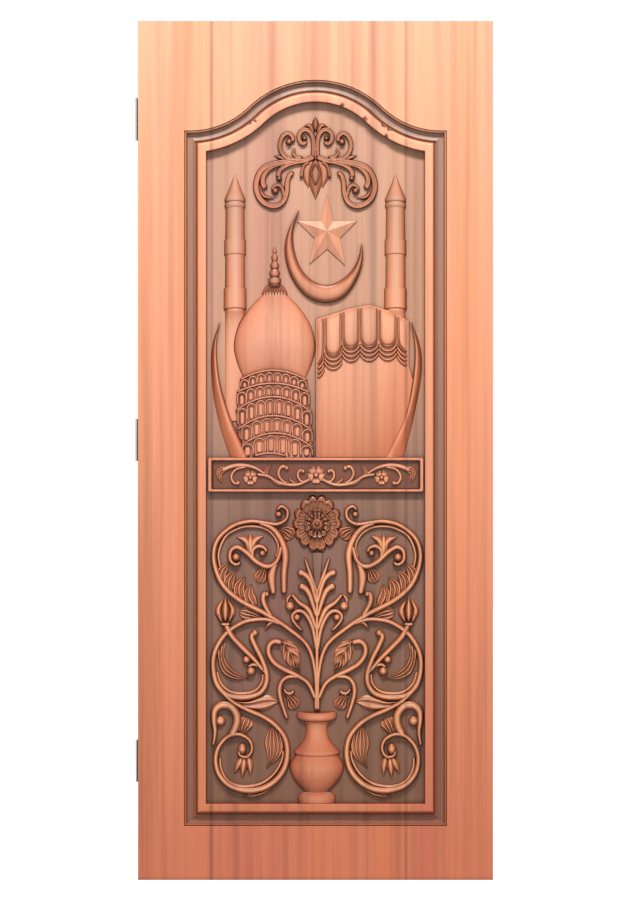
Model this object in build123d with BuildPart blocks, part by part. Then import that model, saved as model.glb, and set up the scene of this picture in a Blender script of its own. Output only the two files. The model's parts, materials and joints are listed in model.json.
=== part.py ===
"""Carved wooden door leaf on three lift-off hinges, in millimetres.

The origin is at the bottom centre of the leaf. X runs across the door as seen from its carved side, Y runs
through it with the carved face towards -Y, and Z is up. Points of the carving are pixels of the picture, laid
over the field inside the mouldings, so the carving follows the size of that field.
"""
import os
from math import asin, cos, radians, sin

from build123d import *

# Leaf and frame
LEAF_WIDTH = 840.0
LEAF_HEIGHT = 2032.0
LEAF_THICKNESS = 40.0
STILE_WIDTH = 109.0
BOTTOM_RAIL_HEIGHT = 128.0
CROWN_RAIL_HEIGHT = 139.0
ARCH_RISE = 120.0
ARCH_SHOULDER = 14.0
LOWER_ARC_SHARE = 0.47

# Panels and joints
GROUND_DEPTH = 14.0
PANEL_THICKNESS = 20.0
GROOVE_DEPTH = 12.0
PANEL_PLAY = 1.0
TONGUE_THICKNESS = 8.0
TONGUE_DEPTH = 10.0
TENON_LENGTH = 70.0
TENON_SETBACK = 30.0
MORTISE_PLAY = 2.0

# Mouldings
MOULDING_WIDTH = 53.0
PROFILE_SHARES = [
    (0.0, 0.36), (0.1, 0.36), (0.14, 0.64), (0.5, 0.5), (0.62, 0.0), (1.0, 0.0), (1.0, 1.0), (0.0, 1.0),
]

# Relief heights above the ground
BAND_BASE = 5.0
BAND_BORDER = 10.0
BAND_BORDER_WIDTH = 9.0
BAND_CARVING = 4.0
SCROLL_RELIEF = 10.0
EYE_RISE = 2.5
CREST_RELIEF = 9.0
VASE_RELIEF = 13.0
DOME_RELIEF = 12.0
MINARET_RELIEF = 9.0
FINIAL_RELIEF = 8.0
TOWER_RELIEF = 7.0
TOWER_RING_RELIEF = 10.0
CANOPY_RELIEF = 6.0
CANOPY_FLUTE_RELIEF = 9.5
HORN_RELIEF = 11.0
CRESCENT_RELIEF = 9.0
STAR_RELIEF = 11.0
STAR_EDGE = 2.0
ROSETTE_PETAL_RELIEF = 8.0
ROSETTE_RING_RELIEF = 10.5
ROSETTE_BOSS_RELIEF = 13.0

# Hinges
HINGE_HEIGHT = 100.0
HINGE_GAP = 3.0
PLATE_THICKNESS = 2.5
PLATE_REACH = 36.0
PIN_OFFSET = 7.0
PIN_RADIUS = 3.5
PIN_CLEARANCE = 0.05
KNUCKLE_RADIUS = 6.0
KNUCKLE_RELIEF = 0.6
KNUCKLE_GAP = 0.1
KNUCKLE_SIDES = 12
SCREW_HOLE_RADIUS = 3.0
SCREW_SPACING = 64.0
SCREW_CENTRE_SHARE = 0.58
TOP_HINGE_DROP = 230.0
BOTTOM_HINGE_RISE = 280.0

# Facets of the carved curves, in degrees, and the form of a small leaf
FACET_TURN = 36.0
OUTLINE_TURN = 12.0
STRAIGHT_TURN = 0.2
TURNING_SIDES = 7
EYE_SIDES = 8
PETAL_SIDES = 6
ROSETTE_SIDES = 10
FLUTE_SIDES = 8
BLADE_LOW_SHARE = 0.34
BLADE_HIGH_SHARE = 0.7
BLADE_HIGH_WIDTH_SHARE = 0.76

# Picture pixels of the field and of the two lines that the carving is balanced on
FIELD_CENTRE_PX = 315.5
FIELD_WIDTH_PX = 218.0
FIELD_BOTTOM_PX = 803.5
FIELD_HEIGHT_PX = 701.0
LOWER_AXIS_PX = 317.0
BAND_PX = (208.4, 457.5, 423.2, 492.7)

# Sizes that follow
FRONT_Y = -LEAF_THICKNESS / 2
BACK_Y = LEAF_THICKNESS / 2
GROUND_Y = FRONT_Y + GROUND_DEPTH
OPENING_HALF = LEAF_WIDTH / 2 - STILE_WIDTH
CROWN_Z = LEAF_HEIGHT - CROWN_RAIL_HEIGHT
SHOULDER_Z = CROWN_Z - ARCH_RISE
ARC_START = OPENING_HALF - ARCH_SHOULDER
RADII_SUM = (ARC_START ** 2 + ARCH_RISE ** 2) / (2 * ARCH_RISE)
LOWER_RADIUS = RADII_SUM * LOWER_ARC_SHARE
UPPER_RADIUS = RADII_SUM - LOWER_RADIUS
ARC_TURN = asin(ARC_START / RADII_SUM)
FIELD_WIDTH = 2 * (OPENING_HALF - MOULDING_WIDTH)
FIELD_BOTTOM = BOTTOM_RAIL_HEIGHT + MOULDING_WIDTH
FIELD_HEIGHT = CROWN_Z - MOULDING_WIDTH - FIELD_BOTTOM
ACROSS_SCALE = FIELD_WIDTH / FIELD_WIDTH_PX
UP_SCALE = FIELD_HEIGHT / FIELD_HEIGHT_PX
PIN_X = -LEAF_WIDTH / 2 - HINGE_GAP / 2
PIN_Y = BACK_Y + PIN_OFFSET
GROUND_PLANE = Plane.XZ.offset(-GROUND_Y)
FACE_PLANE = Plane.XZ.offset(-FRONT_Y)

os.makedirs("parts", exist_ok=True)


def save(builder, name):
    """Label the finished piece and write it."""
    builder.part.label = name
    export_step(builder.part, f"parts/{name}.step")


def spot(pixel, axis=FIELD_CENTRE_PX):
    """Place of a picture pixel on the ground, measured from the given upright axis."""
    return ((pixel[0] - axis) * ACROSS_SCALE, FIELD_BOTTOM + (FIELD_BOTTOM_PX - pixel[1]) * UP_SCALE)


def spots(pixels, axis=FIELD_CENTRE_PX):
    """Places of several picture pixels."""
    return [spot(pixel, axis) for pixel in pixels]


def axis_plane(axis):
    """Ground plane whose X starts at the given upright axis of the picture."""
    return Plane(origin=(spot((axis, 0))[0], GROUND_Y, 0), x_dir=(1, 0, 0), z_dir=(0, -1, 0))


def width_along(widths, share):
    """Width of a stroke at a share of its length, from its start, middle and end widths."""
    start, middle, end = widths
    if share < 0.5:
        return start + (middle - start) * share * 2
    return middle + (end - middle) * (share * 2 - 1)


def draw_polygon(points, mode=Mode.ADD):
    """Draw a closed outline through the points."""
    with BuildLine() as outline:
        Polyline(*points, close=True)
    make_face(outline.edges(), mode=mode)


def facet_stops(pixels, turn):
    """Smooth line through the pixels, and the shares of its length that cut it into facets of equal turn."""
    with BuildLine(mode=Mode.PRIVATE):
        line = Spline(*pixels)
    steps = 10 * len(pixels)
    turned = [0.0]
    before = line.tangent_at(0)
    for step in range(1, steps + 1):
        along = line.tangent_at(step / steps)
        turned.append(turned[-1] + along.get_angle(before) + STRAIGHT_TURN)
        before = along
    facets = max(2, round(turned[-1] / turn))
    stops = [0.0]
    for facet in range(1, facets):
        goal = turned[-1] * facet / facets
        stops.append(next(step for step, total in enumerate(turned) if total >= goal) / steps)
    return line, [*stops, 1.0]


def trace(runs, axis=FIELD_CENTRE_PX, turn=OUTLINE_TURN):
    """Corners along straight runs (two pixels) and smooth runs (more than two)."""
    corners = []
    for run in runs:
        points = run
        if len(run) > 2:
            line, stops = facet_stops(run, turn)
            points = [tuple(line.position_at(share)) for share in stops]
        corners.extend(points[:-1])
    return spots([*corners, points[-1]], axis)


def mirrored(points, middle):
    """Closed outline of a left silhouette and its mirror image about an upright line."""
    return [*points, *[(2 * middle - across, up) for across, up in reversed(points)]]


def stroke(pixels, widths, axis, turn=FACET_TURN):
    """Draw a tapering ribbon along a smooth line through the pixels."""
    line, stops = facet_stops(pixels, turn)
    left = []
    right = []
    for share in stops:
        along = line.tangent_at(share)
        half = Vector(-along.Y, along.X) * (width_along(widths, share) / 2)
        left.append(tuple(line.position_at(share) + half))
        right.append(tuple(line.position_at(share) - half))
    draw_polygon(spots([*left, *reversed(right)], axis))


def blade(base, tip, width, axis):
    """Draw a pointed leaf between two pixels."""
    start = Vector(*base)
    end = Vector(*tip)
    along = (end - start).normalized()
    half = Vector(-along.Y, along.X) * (width / 2)
    low = start + (end - start) * BLADE_LOW_SHARE
    high = start + (end - start) * BLADE_HIGH_SHARE
    narrow = half * BLADE_HIGH_WIDTH_SHARE
    corners = [start, low + half, high + narrow, end, high - narrow, low - half]
    draw_polygon(spots([tuple(corner) for corner in corners], axis))


def around(centre, radius, sides):
    """Pixels evenly spaced round a centre, from the top."""
    turns = [radians(360 * side / sides) for side in range(sides)]
    return [(centre[0] + radius * sin(turn), centre[1] - radius * cos(turn)) for turn in turns]


def disc(centre, radius, axis, sides=EYE_SIDES):
    """Draw a round of a pixel radius."""
    draw_polygon(spots(around(centre, radius, sides), axis))


def draw_arch(overrun):
    """Draw the ogee arch of the opening from left to right."""
    lower_middle = (ARC_START - LOWER_RADIUS * sin(ARC_TURN / 2),
                    SHOULDER_Z + LOWER_RADIUS * (1 - cos(ARC_TURN / 2)))
    upper_middle = (UPPER_RADIUS * sin(ARC_TURN / 2), CROWN_Z - UPPER_RADIUS * (1 - cos(ARC_TURN / 2)))
    turn = (UPPER_RADIUS * sin(ARC_TURN), CROWN_Z - UPPER_RADIUS * (1 - cos(ARC_TURN)))
    points = [(ARC_START, SHOULDER_Z), lower_middle, turn, upper_middle]
    left = [(-across, up) for across, up in points]
    Line((-OPENING_HALF - overrun, SHOULDER_Z), left[0])
    ThreePointArc(*left[:3])
    ThreePointArc(left[2], left[3], (0, CROWN_Z))
    ThreePointArc((0, CROWN_Z), points[3], points[2])
    ThreePointArc(*reversed(points[:3]))
    Line(points[0], (OPENING_HALF + overrun, SHOULDER_Z))


def draw_opening(mode=Mode.ADD):
    """Draw the opening between the stiles and rails."""
    with BuildLine() as outline:
        draw_arch(0)
        Polyline((OPENING_HALF, SHOULDER_Z), (OPENING_HALF, BOTTOM_RAIL_HEIGHT),
                 (-OPENING_HALF, BOTTOM_RAIL_HEIGHT), (-OPENING_HALF, SHOULDER_Z))
    make_face(outline.edges(), mode=mode)


def box_between(low, high, mode=Mode.ADD):
    """Box between two corners."""
    size = [end - start for start, end in zip(low, high)]
    middle = [(start + end) / 2 for start, end in zip(low, high)]
    with Locations(tuple(middle)):
        Box(*size, mode=mode)


# Heights of the middle rail, behind the cross band
RAIL_TOP = spot((0, BAND_PX[1]))[1]
RAIL_BOTTOM = spot((0, BAND_PX[3]))[1]
RAILS = {
    "top_rail": (CROWN_Z + GROOVE_DEPTH, LEAF_HEIGHT - TENON_SETBACK),
    "middle_rail": (RAIL_BOTTOM, RAIL_TOP),
    "bottom_rail": (TENON_SETBACK, BOTTOM_RAIL_HEIGHT - TENON_SETBACK),
}
HINGES = {
    "top": LEAF_HEIGHT - TOP_HINGE_DROP,
    "middle": (LEAF_HEIGHT - TOP_HINGE_DROP + BOTTOM_HINGE_RISE) / 2,
    "bottom": BOTTOM_HINGE_RISE,
}

# Groove that the panels sit in, cut from every frame piece, square behind the arch
with BuildPart() as groove:
    box_between((-OPENING_HALF - GROOVE_DEPTH, GROUND_Y, BOTTOM_RAIL_HEIGHT - GROOVE_DEPTH),
                (OPENING_HALF + GROOVE_DEPTH, GROUND_Y + PANEL_THICKNESS, CROWN_Z + GROOVE_DEPTH))


# Stiles
def make_stile(side):
    """Upright of the frame on one side, with its groove and mortises."""
    with BuildPart() as stile:
        inner = side * OPENING_HALF
        outer = side * LEAF_WIDTH / 2
        box_between((min(inner, outer), FRONT_Y, 0), (max(inner, outer), BACK_Y, LEAF_HEIGHT))
        add(groove.part, mode=Mode.SUBTRACT)
        deep = side * (OPENING_HALF + TENON_LENGTH + MORTISE_PLAY)
        for low, high in RAILS.values():
            near = (min(inner, deep), GROUND_Y, low)
            far = (max(inner, deep), GROUND_Y + PANEL_THICKNESS, high)
            box_between(near, far, mode=Mode.SUBTRACT)
        if side < 0:
            for middle in HINGES.values():
                box_between((outer, PIN_Y - PLATE_REACH, middle - HINGE_HEIGHT / 2),
                            (outer + PLATE_THICKNESS, BACK_Y, middle + HINGE_HEIGHT / 2), mode=Mode.SUBTRACT)
    return stile


hinge_stile = make_stile(-1)
save(hinge_stile, "hinge_stile")
lock_stile = make_stile(1)
save(lock_stile, "lock_stile")


# Rails
def add_tenons(low, high):
    """Tenons at both ends of a rail."""
    reach = OPENING_HALF + TENON_LENGTH
    for start, end in ((-reach, -OPENING_HALF), (OPENING_HALF, reach)):
        box_between((start, GROUND_Y, low), (end, GROUND_Y + PANEL_THICKNESS, high))


with BuildPart() as top_rail:
    with BuildSketch(FACE_PLANE):
        with Locations((0, (SHOULDER_Z + LEAF_HEIGHT) / 2)):
            Rectangle(2 * OPENING_HALF, LEAF_HEIGHT - SHOULDER_Z)
        draw_opening(mode=Mode.SUBTRACT)
    extrude(amount=-LEAF_THICKNESS)
    add(groove.part, mode=Mode.SUBTRACT)
    add_tenons(*RAILS["top_rail"])
save(top_rail, "top_rail")

with BuildPart() as middle_rail:
    box_between((-OPENING_HALF, GROUND_Y, RAIL_BOTTOM), (OPENING_HALF, BACK_Y, RAIL_TOP))
    tongue_low = GROUND_Y + (PANEL_THICKNESS - TONGUE_THICKNESS) / 2
    tongue_high = tongue_low + TONGUE_THICKNESS
    for edge, depth in ((RAIL_TOP, -TONGUE_DEPTH), (RAIL_BOTTOM, TONGUE_DEPTH)):
        box_between((-OPENING_HALF, tongue_low, min(edge, edge + depth)),
                    (OPENING_HALF, tongue_high, max(edge, edge + depth)), mode=Mode.SUBTRACT)
    add_tenons(*RAILS["middle_rail"])
save(middle_rail, "middle_rail")

with BuildPart() as bottom_rail:
    box_between((-OPENING_HALF, FRONT_Y, 0), (OPENING_HALF, BACK_Y, BOTTOM_RAIL_HEIGHT))
    add(groove.part, mode=Mode.SUBTRACT)
    add_tenons(*RAILS["bottom_rail"])
save(bottom_rail, "bottom_rail")


# Panels
PANEL_HALF = OPENING_HALF + GROOVE_DEPTH - PANEL_PLAY
PANEL_TOP = CROWN_Z + GROOVE_DEPTH - PANEL_PLAY
PANEL_FOOT = BOTTOM_RAIL_HEIGHT - GROOVE_DEPTH + PANEL_PLAY


def make_panel(low, high, tongue_edge, tongue_depth):
    """Panel between two heights, with a tongue on the edge that meets the middle rail."""
    with BuildPart() as panel:
        box_between((-PANEL_HALF, GROUND_Y, low), (PANEL_HALF, GROUND_Y + PANEL_THICKNESS, high))
        tongue_end = tongue_edge + tongue_depth
        box_between((PANEL_PLAY - OPENING_HALF, tongue_low, min(tongue_edge, tongue_end)),
                    (OPENING_HALF - PANEL_PLAY, tongue_high, max(tongue_edge, tongue_end)))
    return panel


upper_panel = make_panel(RAIL_TOP, PANEL_TOP, RAIL_TOP, PANEL_PLAY - TONGUE_DEPTH)
save(upper_panel, "upper_panel")
lower_panel = make_panel(PANEL_FOOT, RAIL_BOTTOM, RAIL_BOTTOM, TONGUE_DEPTH - PANEL_PLAY)
save(lower_panel, "lower_panel")


# Mouldings, mitred at the four corners
def draw_profile():
    """Draw the moulding's section, outer edge at zero and depth downwards into the door."""
    with BuildLine() as section:
        corners = [(across * MOULDING_WIDTH, deep * GROUND_DEPTH) for across, deep in PROFILE_SHARES]
        Polyline(*corners, close=True)
    make_face(section.edges())


OFFSET_RADIUS = LOWER_RADIUS + MOULDING_WIDTH
CORNER_RUN = MOULDING_WIDTH - ARCH_SHOULDER
HEAD_MITRE_DROP = MOULDING_WIDTH - OFFSET_RADIUS + (OFFSET_RADIUS ** 2 - CORNER_RUN ** 2) ** 0.5
FOOT_MITRES = [
    Plane(origin=(side * OPENING_HALF, 0, BOTTOM_RAIL_HEIGHT), z_dir=(side, 0, 1)) for side in (-1, 1)
]
HEAD_MITRES = [
    Plane(origin=(side * OPENING_HALF, 0, SHOULDER_Z), z_dir=(-side * HEAD_MITRE_DROP, 0, MOULDING_WIDTH))
    for side in (-1, 1)
]


def make_side_moulding(side):
    """Upright length of moulding on one side."""
    start = (side * OPENING_HALF, FRONT_Y, 0 if side < 0 else LEAF_HEIGHT)
    with BuildPart() as moulding:
        with BuildSketch(Plane(origin=start, x_dir=(-side, 0, 0), z_dir=(0, 0, -side))):
            draw_profile()
        extrude(amount=LEAF_HEIGHT)
        index = 0 if side < 0 else 1
        split(bisect_by=FOOT_MITRES[index], keep=Keep.TOP)
        split(bisect_by=HEAD_MITRES[index], keep=Keep.BOTTOM)
    return moulding


left_moulding = make_side_moulding(-1)
save(left_moulding, "left_moulding")
right_moulding = make_side_moulding(1)
save(right_moulding, "right_moulding")

with BuildPart() as foot_moulding:
    foot_corner = (OPENING_HALF, FRONT_Y, BOTTOM_RAIL_HEIGHT)
    with BuildSketch(Plane(origin=foot_corner, x_dir=(0, 0, 1), z_dir=(-1, 0, 0))):
        draw_profile()
    extrude(amount=2 * OPENING_HALF)
    for mitre in FOOT_MITRES:
        split(bisect_by=mitre, keep=Keep.BOTTOM)
save(foot_moulding, "foot_moulding")

with BuildPart() as head_moulding:
    with BuildLine(FACE_PLANE) as arch_path:
        draw_arch(MOULDING_WIDTH)
    with BuildSketch(Plane(origin=(-OPENING_HALF - MOULDING_WIDTH, FRONT_Y, SHOULDER_Z), x_dir=(0, 0, -1),
                           z_dir=(1, 0, 0))):
        draw_profile()
    sweep(path=arch_path.wires()[0])
    for mitre in HEAD_MITRES:
        split(bisect_by=mitre, keep=Keep.TOP)
save(head_moulding, "head_moulding")


# Helpers for the planted carvings
def cut_away(points):
    """Cut the piece back to the outline of a piece in front of it."""
    with BuildSketch(GROUND_PLANE) as shadow:
        draw_polygon(points)
    extrude(shadow.sketch, amount=GROUND_DEPTH, mode=Mode.SUBTRACT)


def make_turning(axis, runs, relief):
    """Half turning in flat facets, flattened into relief, from the runs of its left silhouette."""
    centre = spot((axis, 0))[0]
    levels = {up: -across for across, up in trace(runs, axis, FACET_TURN)}
    flat = relief / max(levels.values())
    angles = [radians(180 + 180 * side / TURNING_SIDES) for side in range(TURNING_SIDES + 1)]
    rings = []
    for up, radius in levels.items():
        rings.append([
            (centre + radius * cos(angle), GROUND_Y + radius * flat * sin(angle), up) for angle in angles
        ])
    outlines = [rings[0], rings[-1], [ring[0] for ring in rings] + [ring[-1] for ring in reversed(rings)]]
    for upper, lower in zip(rings, rings[1:]):
        for side in range(TURNING_SIDES):
            outlines.append([upper[side], upper[side + 1], lower[side + 1], lower[side]])
    with BuildPart() as turning:
        add(Solid(Shell([Face(Wire.make_polygon(outline)) for outline in outlines])))
    return turning


# Cross band with its raised border and floral carving
with BuildPart() as cross_band:
    left, top = spot(BAND_PX[:2])
    right, bottom = spot(BAND_PX[2:])
    with BuildSketch(GROUND_PLANE) as band_face:
        with Locations(((left + right) / 2, (top + bottom) / 2)):
            Rectangle(right - left, top - bottom)
    extrude(amount=BAND_BASE)
    with BuildSketch(GROUND_PLANE) as border_face:
        add(band_face.sketch)
        offset(amount=-BAND_BORDER_WIDTH, kind=Kind.INTERSECTION, mode=Mode.SUBTRACT)
    extrude(border_face.sketch, amount=BAND_BORDER)
save(cross_band, "cross_band")

BAND_AXIS_PX = 316.0
BAND_STROKES_PX = [
    ([(311, 479), (299, 484.5), (288, 485), (277, 482), (268, 476.5), (256, 474.5)], (3.4, 3.6, 3.2)),
    ([(246, 474), (236, 467.8), (226, 468.4), (218.5, 474.5), (221.5, 481)], (3.4, 4.4, 3)),
    ([(290, 484.6), (281, 480), (277, 473), (281.5, 467.4), (287.5, 469.4)], (3, 3.6, 3.4)),
]
BAND_FLOWERS_PX = [((316, 475.3), 5.6, 3.2), ((250.3, 477.9), 4.6, 2.8), ((381.7, 477.9), 4.6, 2.8)]
BAND_PETAL_COUNTS = [6, 5, 5]

with BuildPart() as band_carving:
    with BuildSketch(axis_plane(BAND_AXIS_PX).offset(BAND_BASE)):
        for pixels, widths in BAND_STROKES_PX:
            stroke(pixels, widths, BAND_AXIS_PX)
        mirror(about=Plane.YZ)
        for (centre, ring, petal), count in zip(BAND_FLOWERS_PX, BAND_PETAL_COUNTS):
            disc(centre, ring, BAND_AXIS_PX, count)
            for place in around(centre, ring, count):
                disc(place, petal, BAND_AXIS_PX, PETAL_SIDES)
    extrude(amount=BAND_CARVING)
save(band_carving, "band_carving")

# Crest under the arch
CREST_STROKES_PX = [
    ([(313.9, 156), (313.5, 141), (310.5, 132.8), (305, 129.6), (299.6, 133.5), (299.4, 140),
      (303, 143.6), (306.4, 140)],
     (4, 4, 3)),
    ([(299, 160.5), (288, 158.5), (281.4, 151.8), (280, 143.5), (283, 136), (288.3, 133.3), (293, 137),
      (292.6, 143.4),
      (289, 145.6)], (4, 4, 3)),
    ([(313, 158.6), (300, 161.5), (288, 161.8), (272, 164.4), (261.5, 170.5), (256.2, 182.5), (257.4, 194),
      (263.4, 202.6), (273.8, 207), (282.8, 203.2), (287, 194), (288, 183), (292.5, 175)], (4, 5.4, 4)),
    ([(283.8, 199.5), (281.5, 188), (276.5, 184.8), (272.4, 188), (273, 194)], (3.4, 3.6, 3)),
    ([(265, 168), (262.8, 178), (266.5, 187)], (3, 5, 6)),
    ([(315.5, 147), (315.5, 138), (315.5, 127)], (3.4, 3, 3)),
]
CREST_BLADES_PX = [
    ((284, 162), (278, 179), 5.4),
    ((315, 131.5), (303.5, 124.5), 6), ((315.5, 129), (315.5, 116.5), 7), ((315.5, 162), (315.5, 145.5), 6),
]
CREST_EYES_PX = [((304.2, 138), 2.6), ((288.4, 141.8), 3), ((275.6, 191.2), 3)]
TULIP_PX = [[(315, 160.6), (304, 164), (300.8, 172), (303, 181), (310, 190), (315, 199)]]

with BuildPart() as crest:
    with BuildSketch(GROUND_PLANE):
        for pixels, widths in CREST_STROKES_PX:
            stroke(pixels, widths, FIELD_CENTRE_PX)
        for base, tip, width in CREST_BLADES_PX:
            blade(base, tip, width, FIELD_CENTRE_PX)
        mirror(about=Plane.YZ)
        draw_polygon(mirrored(trace(TULIP_PX), 0))
    extrude(amount=CREST_RELIEF)
    with BuildSketch(GROUND_PLANE) as crest_eyes:
        for centre, radius in CREST_EYES_PX:
            disc(centre, radius, FIELD_CENTRE_PX)
        mirror(about=Plane.YZ)
    extrude(crest_eyes.sketch, amount=CREST_RELIEF + EYE_RISE)
save(crest, "crest")

# Outlines of the upper carvings, nearest first
LEFT_HORN_PX = [
    [(219.6, 322.3), (212.6, 343), (210.8, 365), (213.6, 398), (220.5, 429), (229.9, 457.2)],
    [(229.9, 457.2), (248.9, 457.2)],
    [(248.9, 457.2), (231.7, 420.4), (220.9, 386), (216.9, 357), (217.2, 338), (219.6, 322.3)],
]
RIGHT_HORN_PX = [
    [(411.6, 322.3), (419.6, 343), (422.2, 362), (420.2, 386), (412.5, 424), (403.9, 457.2)],
    [(403.9, 457.2), (383.2, 457.2)],
    [(383.2, 457.2), (402, 422), (410.3, 394), (414.4, 360), (414.1, 340), (411.6, 322.3)],
]
TOWER_PX = [
    [(239.4, 380), (273, 369.6), (307.6, 380)],
    [(307.6, 380), (311.3, 415), (312.8, 432), (313.6, 457.2)],
    [(313.6, 457.2), (247, 457.2)],
    [(247, 457.2), (239.5, 441.5), (235.3, 428), (235.3, 409), (239.4, 380)],
]
TOWER_RINGS_PX = [
    [(240.4, 381.8), (273, 371.6), (306.6, 381.8)], [(236, 393.4), (273, 384.2), (310.5, 393.8)],
    [(234, 412), (273, 397.6), (313, 414.6)], [(234, 431), (273, 416.4), (314, 433)],
    [(238, 447), (275, 434.2), (314.6, 449.6)],
]
TOWER_RING_WIDTHS_PX = (2.8, 2.8, 2.8)
CANOPY_PX = [
    [(315.8, 318.8), (332, 314.2), (350, 308.4), (369.4, 304.5)],
    [(369.4, 304.5), (388, 310.4), (409, 320.5)],
    [(409, 320.5), (409, 366)],
    [(409, 366), (413, 380)],
    [(413, 380), (394, 457.2)],
    [(394, 457.2), (315.8, 457.2)],
    [(315.8, 457.2), (315.8, 318.8)],
]
FLUTE_EDGES_PX = [315.8, 322.9, 341.0, 359.1, 378.0, 396.6, 409.0]
FLUTE_BOTTOMS_PX = [376.0, 365.5, 359.4, 359.4, 358.6, 363.0]
FLUTE_RIB_WIDTH_PX = 2.4
FLUTE_RIB_RISE_PX = 9.0
FLUTE_TOP_PX = 300.0
CRESCENT_PX = [
    [(298.8, 210.3), (288, 231), (284.5, 252), (290.5, 276), (305.7, 296.4), (326, 303.3), (345.3, 296.4),
     (358.8, 275.8), (363, 258), (361.7, 243.9)],
    [(361.7, 243.9), (357, 261), (347.5, 275), (331.5, 284.4), (316, 282.5), (302.5, 270.6), (295, 252),
     (293.4, 231), (298.8, 210.3)],
]
STAR_CENTRE_PX = (327.2, 231.3)
STAR_PX = [
    (327, 195.2), (333.3, 221), (357, 221), (339.8, 238.2), (345.3, 265.4), (327.2, 248.7), (309.5, 264),
    (314.7, 238.2), (297.1, 221), (320.9, 221),
]
DOME_AXIS_PX = 274.6
DOME_PX = [
    [(268.4, 287), (261.2, 293)],
    [(261.2, 293), (262.4, 294.6)],
    [(262.4, 294.6), (250, 307.5), (238.5, 325), (233.7, 345), (236.6, 362), (243.7, 377)],
]
FINIAL_PX = [
    [(273.8, 246.5), (272.6, 252)], [(272.6, 252), (273.4, 254)], [(273.4, 254), (271.4, 260)],
    [(271.4, 260), (272.6, 262)], [(272.6, 262), (269.8, 270)], [(269.8, 270), (271.6, 272.6)],
    [(271.6, 272.6), (268.4, 279)], [(268.4, 279), (268.4, 287)],
]
LEFT_MINARET_AXIS_PX = 235.0
RIGHT_MINARET_AXIS_PX = 395.5
MINARET_RADII_PX = [
    (174.0, 0.8), (199.0, 10.4), (202.0, 10.4), (202.6, 8.4), (208.0, 9.2), (240.0, 9.6), (240.6, 10.7),
    (254.6, 10.7),
    (255.2, 9.8), (288.0, 10.0), (288.6, 11.3), (310.0, 11.3), (310.6, 9.8),
]
LEFT_MINARET_END_PX = 396.0
RIGHT_MINARET_END_PX = 330.0

# Horn shaped leaves at both sides
LEFT_HORN = trace(LEFT_HORN_PX)
RIGHT_HORN = trace(RIGHT_HORN_PX)
for name, outline in (("left_horn_leaf", LEFT_HORN), ("right_horn_leaf", RIGHT_HORN)):
    with BuildPart() as horn:
        with BuildSketch(GROUND_PLANE):
            draw_polygon(outline)
        extrude(amount=HORN_RELIEF)
    save(horn, name)

# Arcaded tower with its ring bands
TOWER = trace(TOWER_PX)
with BuildPart() as tower:
    with BuildSketch(GROUND_PLANE):
        draw_polygon(TOWER)
    extrude(amount=TOWER_RELIEF)
    with BuildSketch(GROUND_PLANE) as rings:
        for pixels in TOWER_RINGS_PX:
            stroke(pixels, TOWER_RING_WIDTHS_PX, FIELD_CENTRE_PX, OUTLINE_TURN)
        draw_polygon(TOWER, mode=Mode.INTERSECT)
    extrude(rings.sketch, amount=TOWER_RING_RELIEF)
    cut_away(LEFT_HORN)
save(tower, "arcaded_tower")

# Onion dome and its finial
DOME = mirrored(trace(DOME_PX, turn=FACET_TURN), spot((DOME_AXIS_PX, 0))[0])
dome = make_turning(DOME_AXIS_PX, DOME_PX, DOME_RELIEF)
with dome:
    cut_away(TOWER)
save(dome, "onion_dome")
finial = make_turning(DOME_AXIS_PX, FINIAL_PX, FINIAL_RELIEF)
save(finial, "dome_finial")

# Draped canopy over its plain field
CANOPY = trace(CANOPY_PX)
with BuildPart() as canopy:
    with BuildSketch(GROUND_PLANE):
        draw_polygon(CANOPY)
    extrude(amount=CANOPY_RELIEF)
    with BuildSketch(GROUND_PLANE) as drape:
        for start, end, low in zip(FLUTE_EDGES_PX, FLUTE_EDGES_PX[1:], FLUTE_BOTTOMS_PX):
            hang = (end - start) / 2
            tongue = [(start, low - hang), (end, low - hang), (end, FLUTE_TOP_PX), (start, FLUTE_TOP_PX)]
            draw_polygon(spots(tongue))
            disc(((start + end) / 2, low - hang), hang, FIELD_CENTRE_PX, FLUTE_SIDES)
        draw_polygon(CANOPY, mode=Mode.INTERSECT)
    extrude(drape.sketch, amount=(CANOPY_RELIEF + CANOPY_FLUTE_RELIEF) / 2)
    with BuildSketch(GROUND_PLANE) as ribs:
        for edge, low in zip(FLUTE_EDGES_PX[1:-1], FLUTE_BOTTOMS_PX[1:]):
            start = edge - FLUTE_RIB_WIDTH_PX / 2
            end = edge + FLUTE_RIB_WIDTH_PX / 2
            foot = low - FLUTE_RIB_RISE_PX
            draw_polygon(spots([(start, foot), (end, foot), (end, FLUTE_TOP_PX), (start, FLUTE_TOP_PX)]))
        draw_polygon(CANOPY, mode=Mode.INTERSECT)
    extrude(ribs.sketch, amount=CANOPY_FLUTE_RELIEF)
    cut_away(RIGHT_HORN)
save(canopy, "draped_canopy")


# Minarets, cut back to what stands in front of them
def minaret_runs(axis, end):
    """Left silhouette of a minaret down to a height."""
    points = [(axis - radius, up) for up, radius in MINARET_RADII_PX]
    points.append((points[-1][0], end))
    return [list(pair) for pair in zip(points, points[1:])]


left_runs = minaret_runs(LEFT_MINARET_AXIS_PX, LEFT_MINARET_END_PX)
left_minaret = make_turning(LEFT_MINARET_AXIS_PX, left_runs, MINARET_RELIEF)
with left_minaret:
    for outline in (DOME, TOWER, LEFT_HORN):
        cut_away(outline)
save(left_minaret, "left_minaret")
right_runs = minaret_runs(RIGHT_MINARET_AXIS_PX, RIGHT_MINARET_END_PX)
right_minaret = make_turning(RIGHT_MINARET_AXIS_PX, right_runs, MINARET_RELIEF)
with right_minaret:
    cut_away(CANOPY)
save(right_minaret, "right_minaret")

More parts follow.
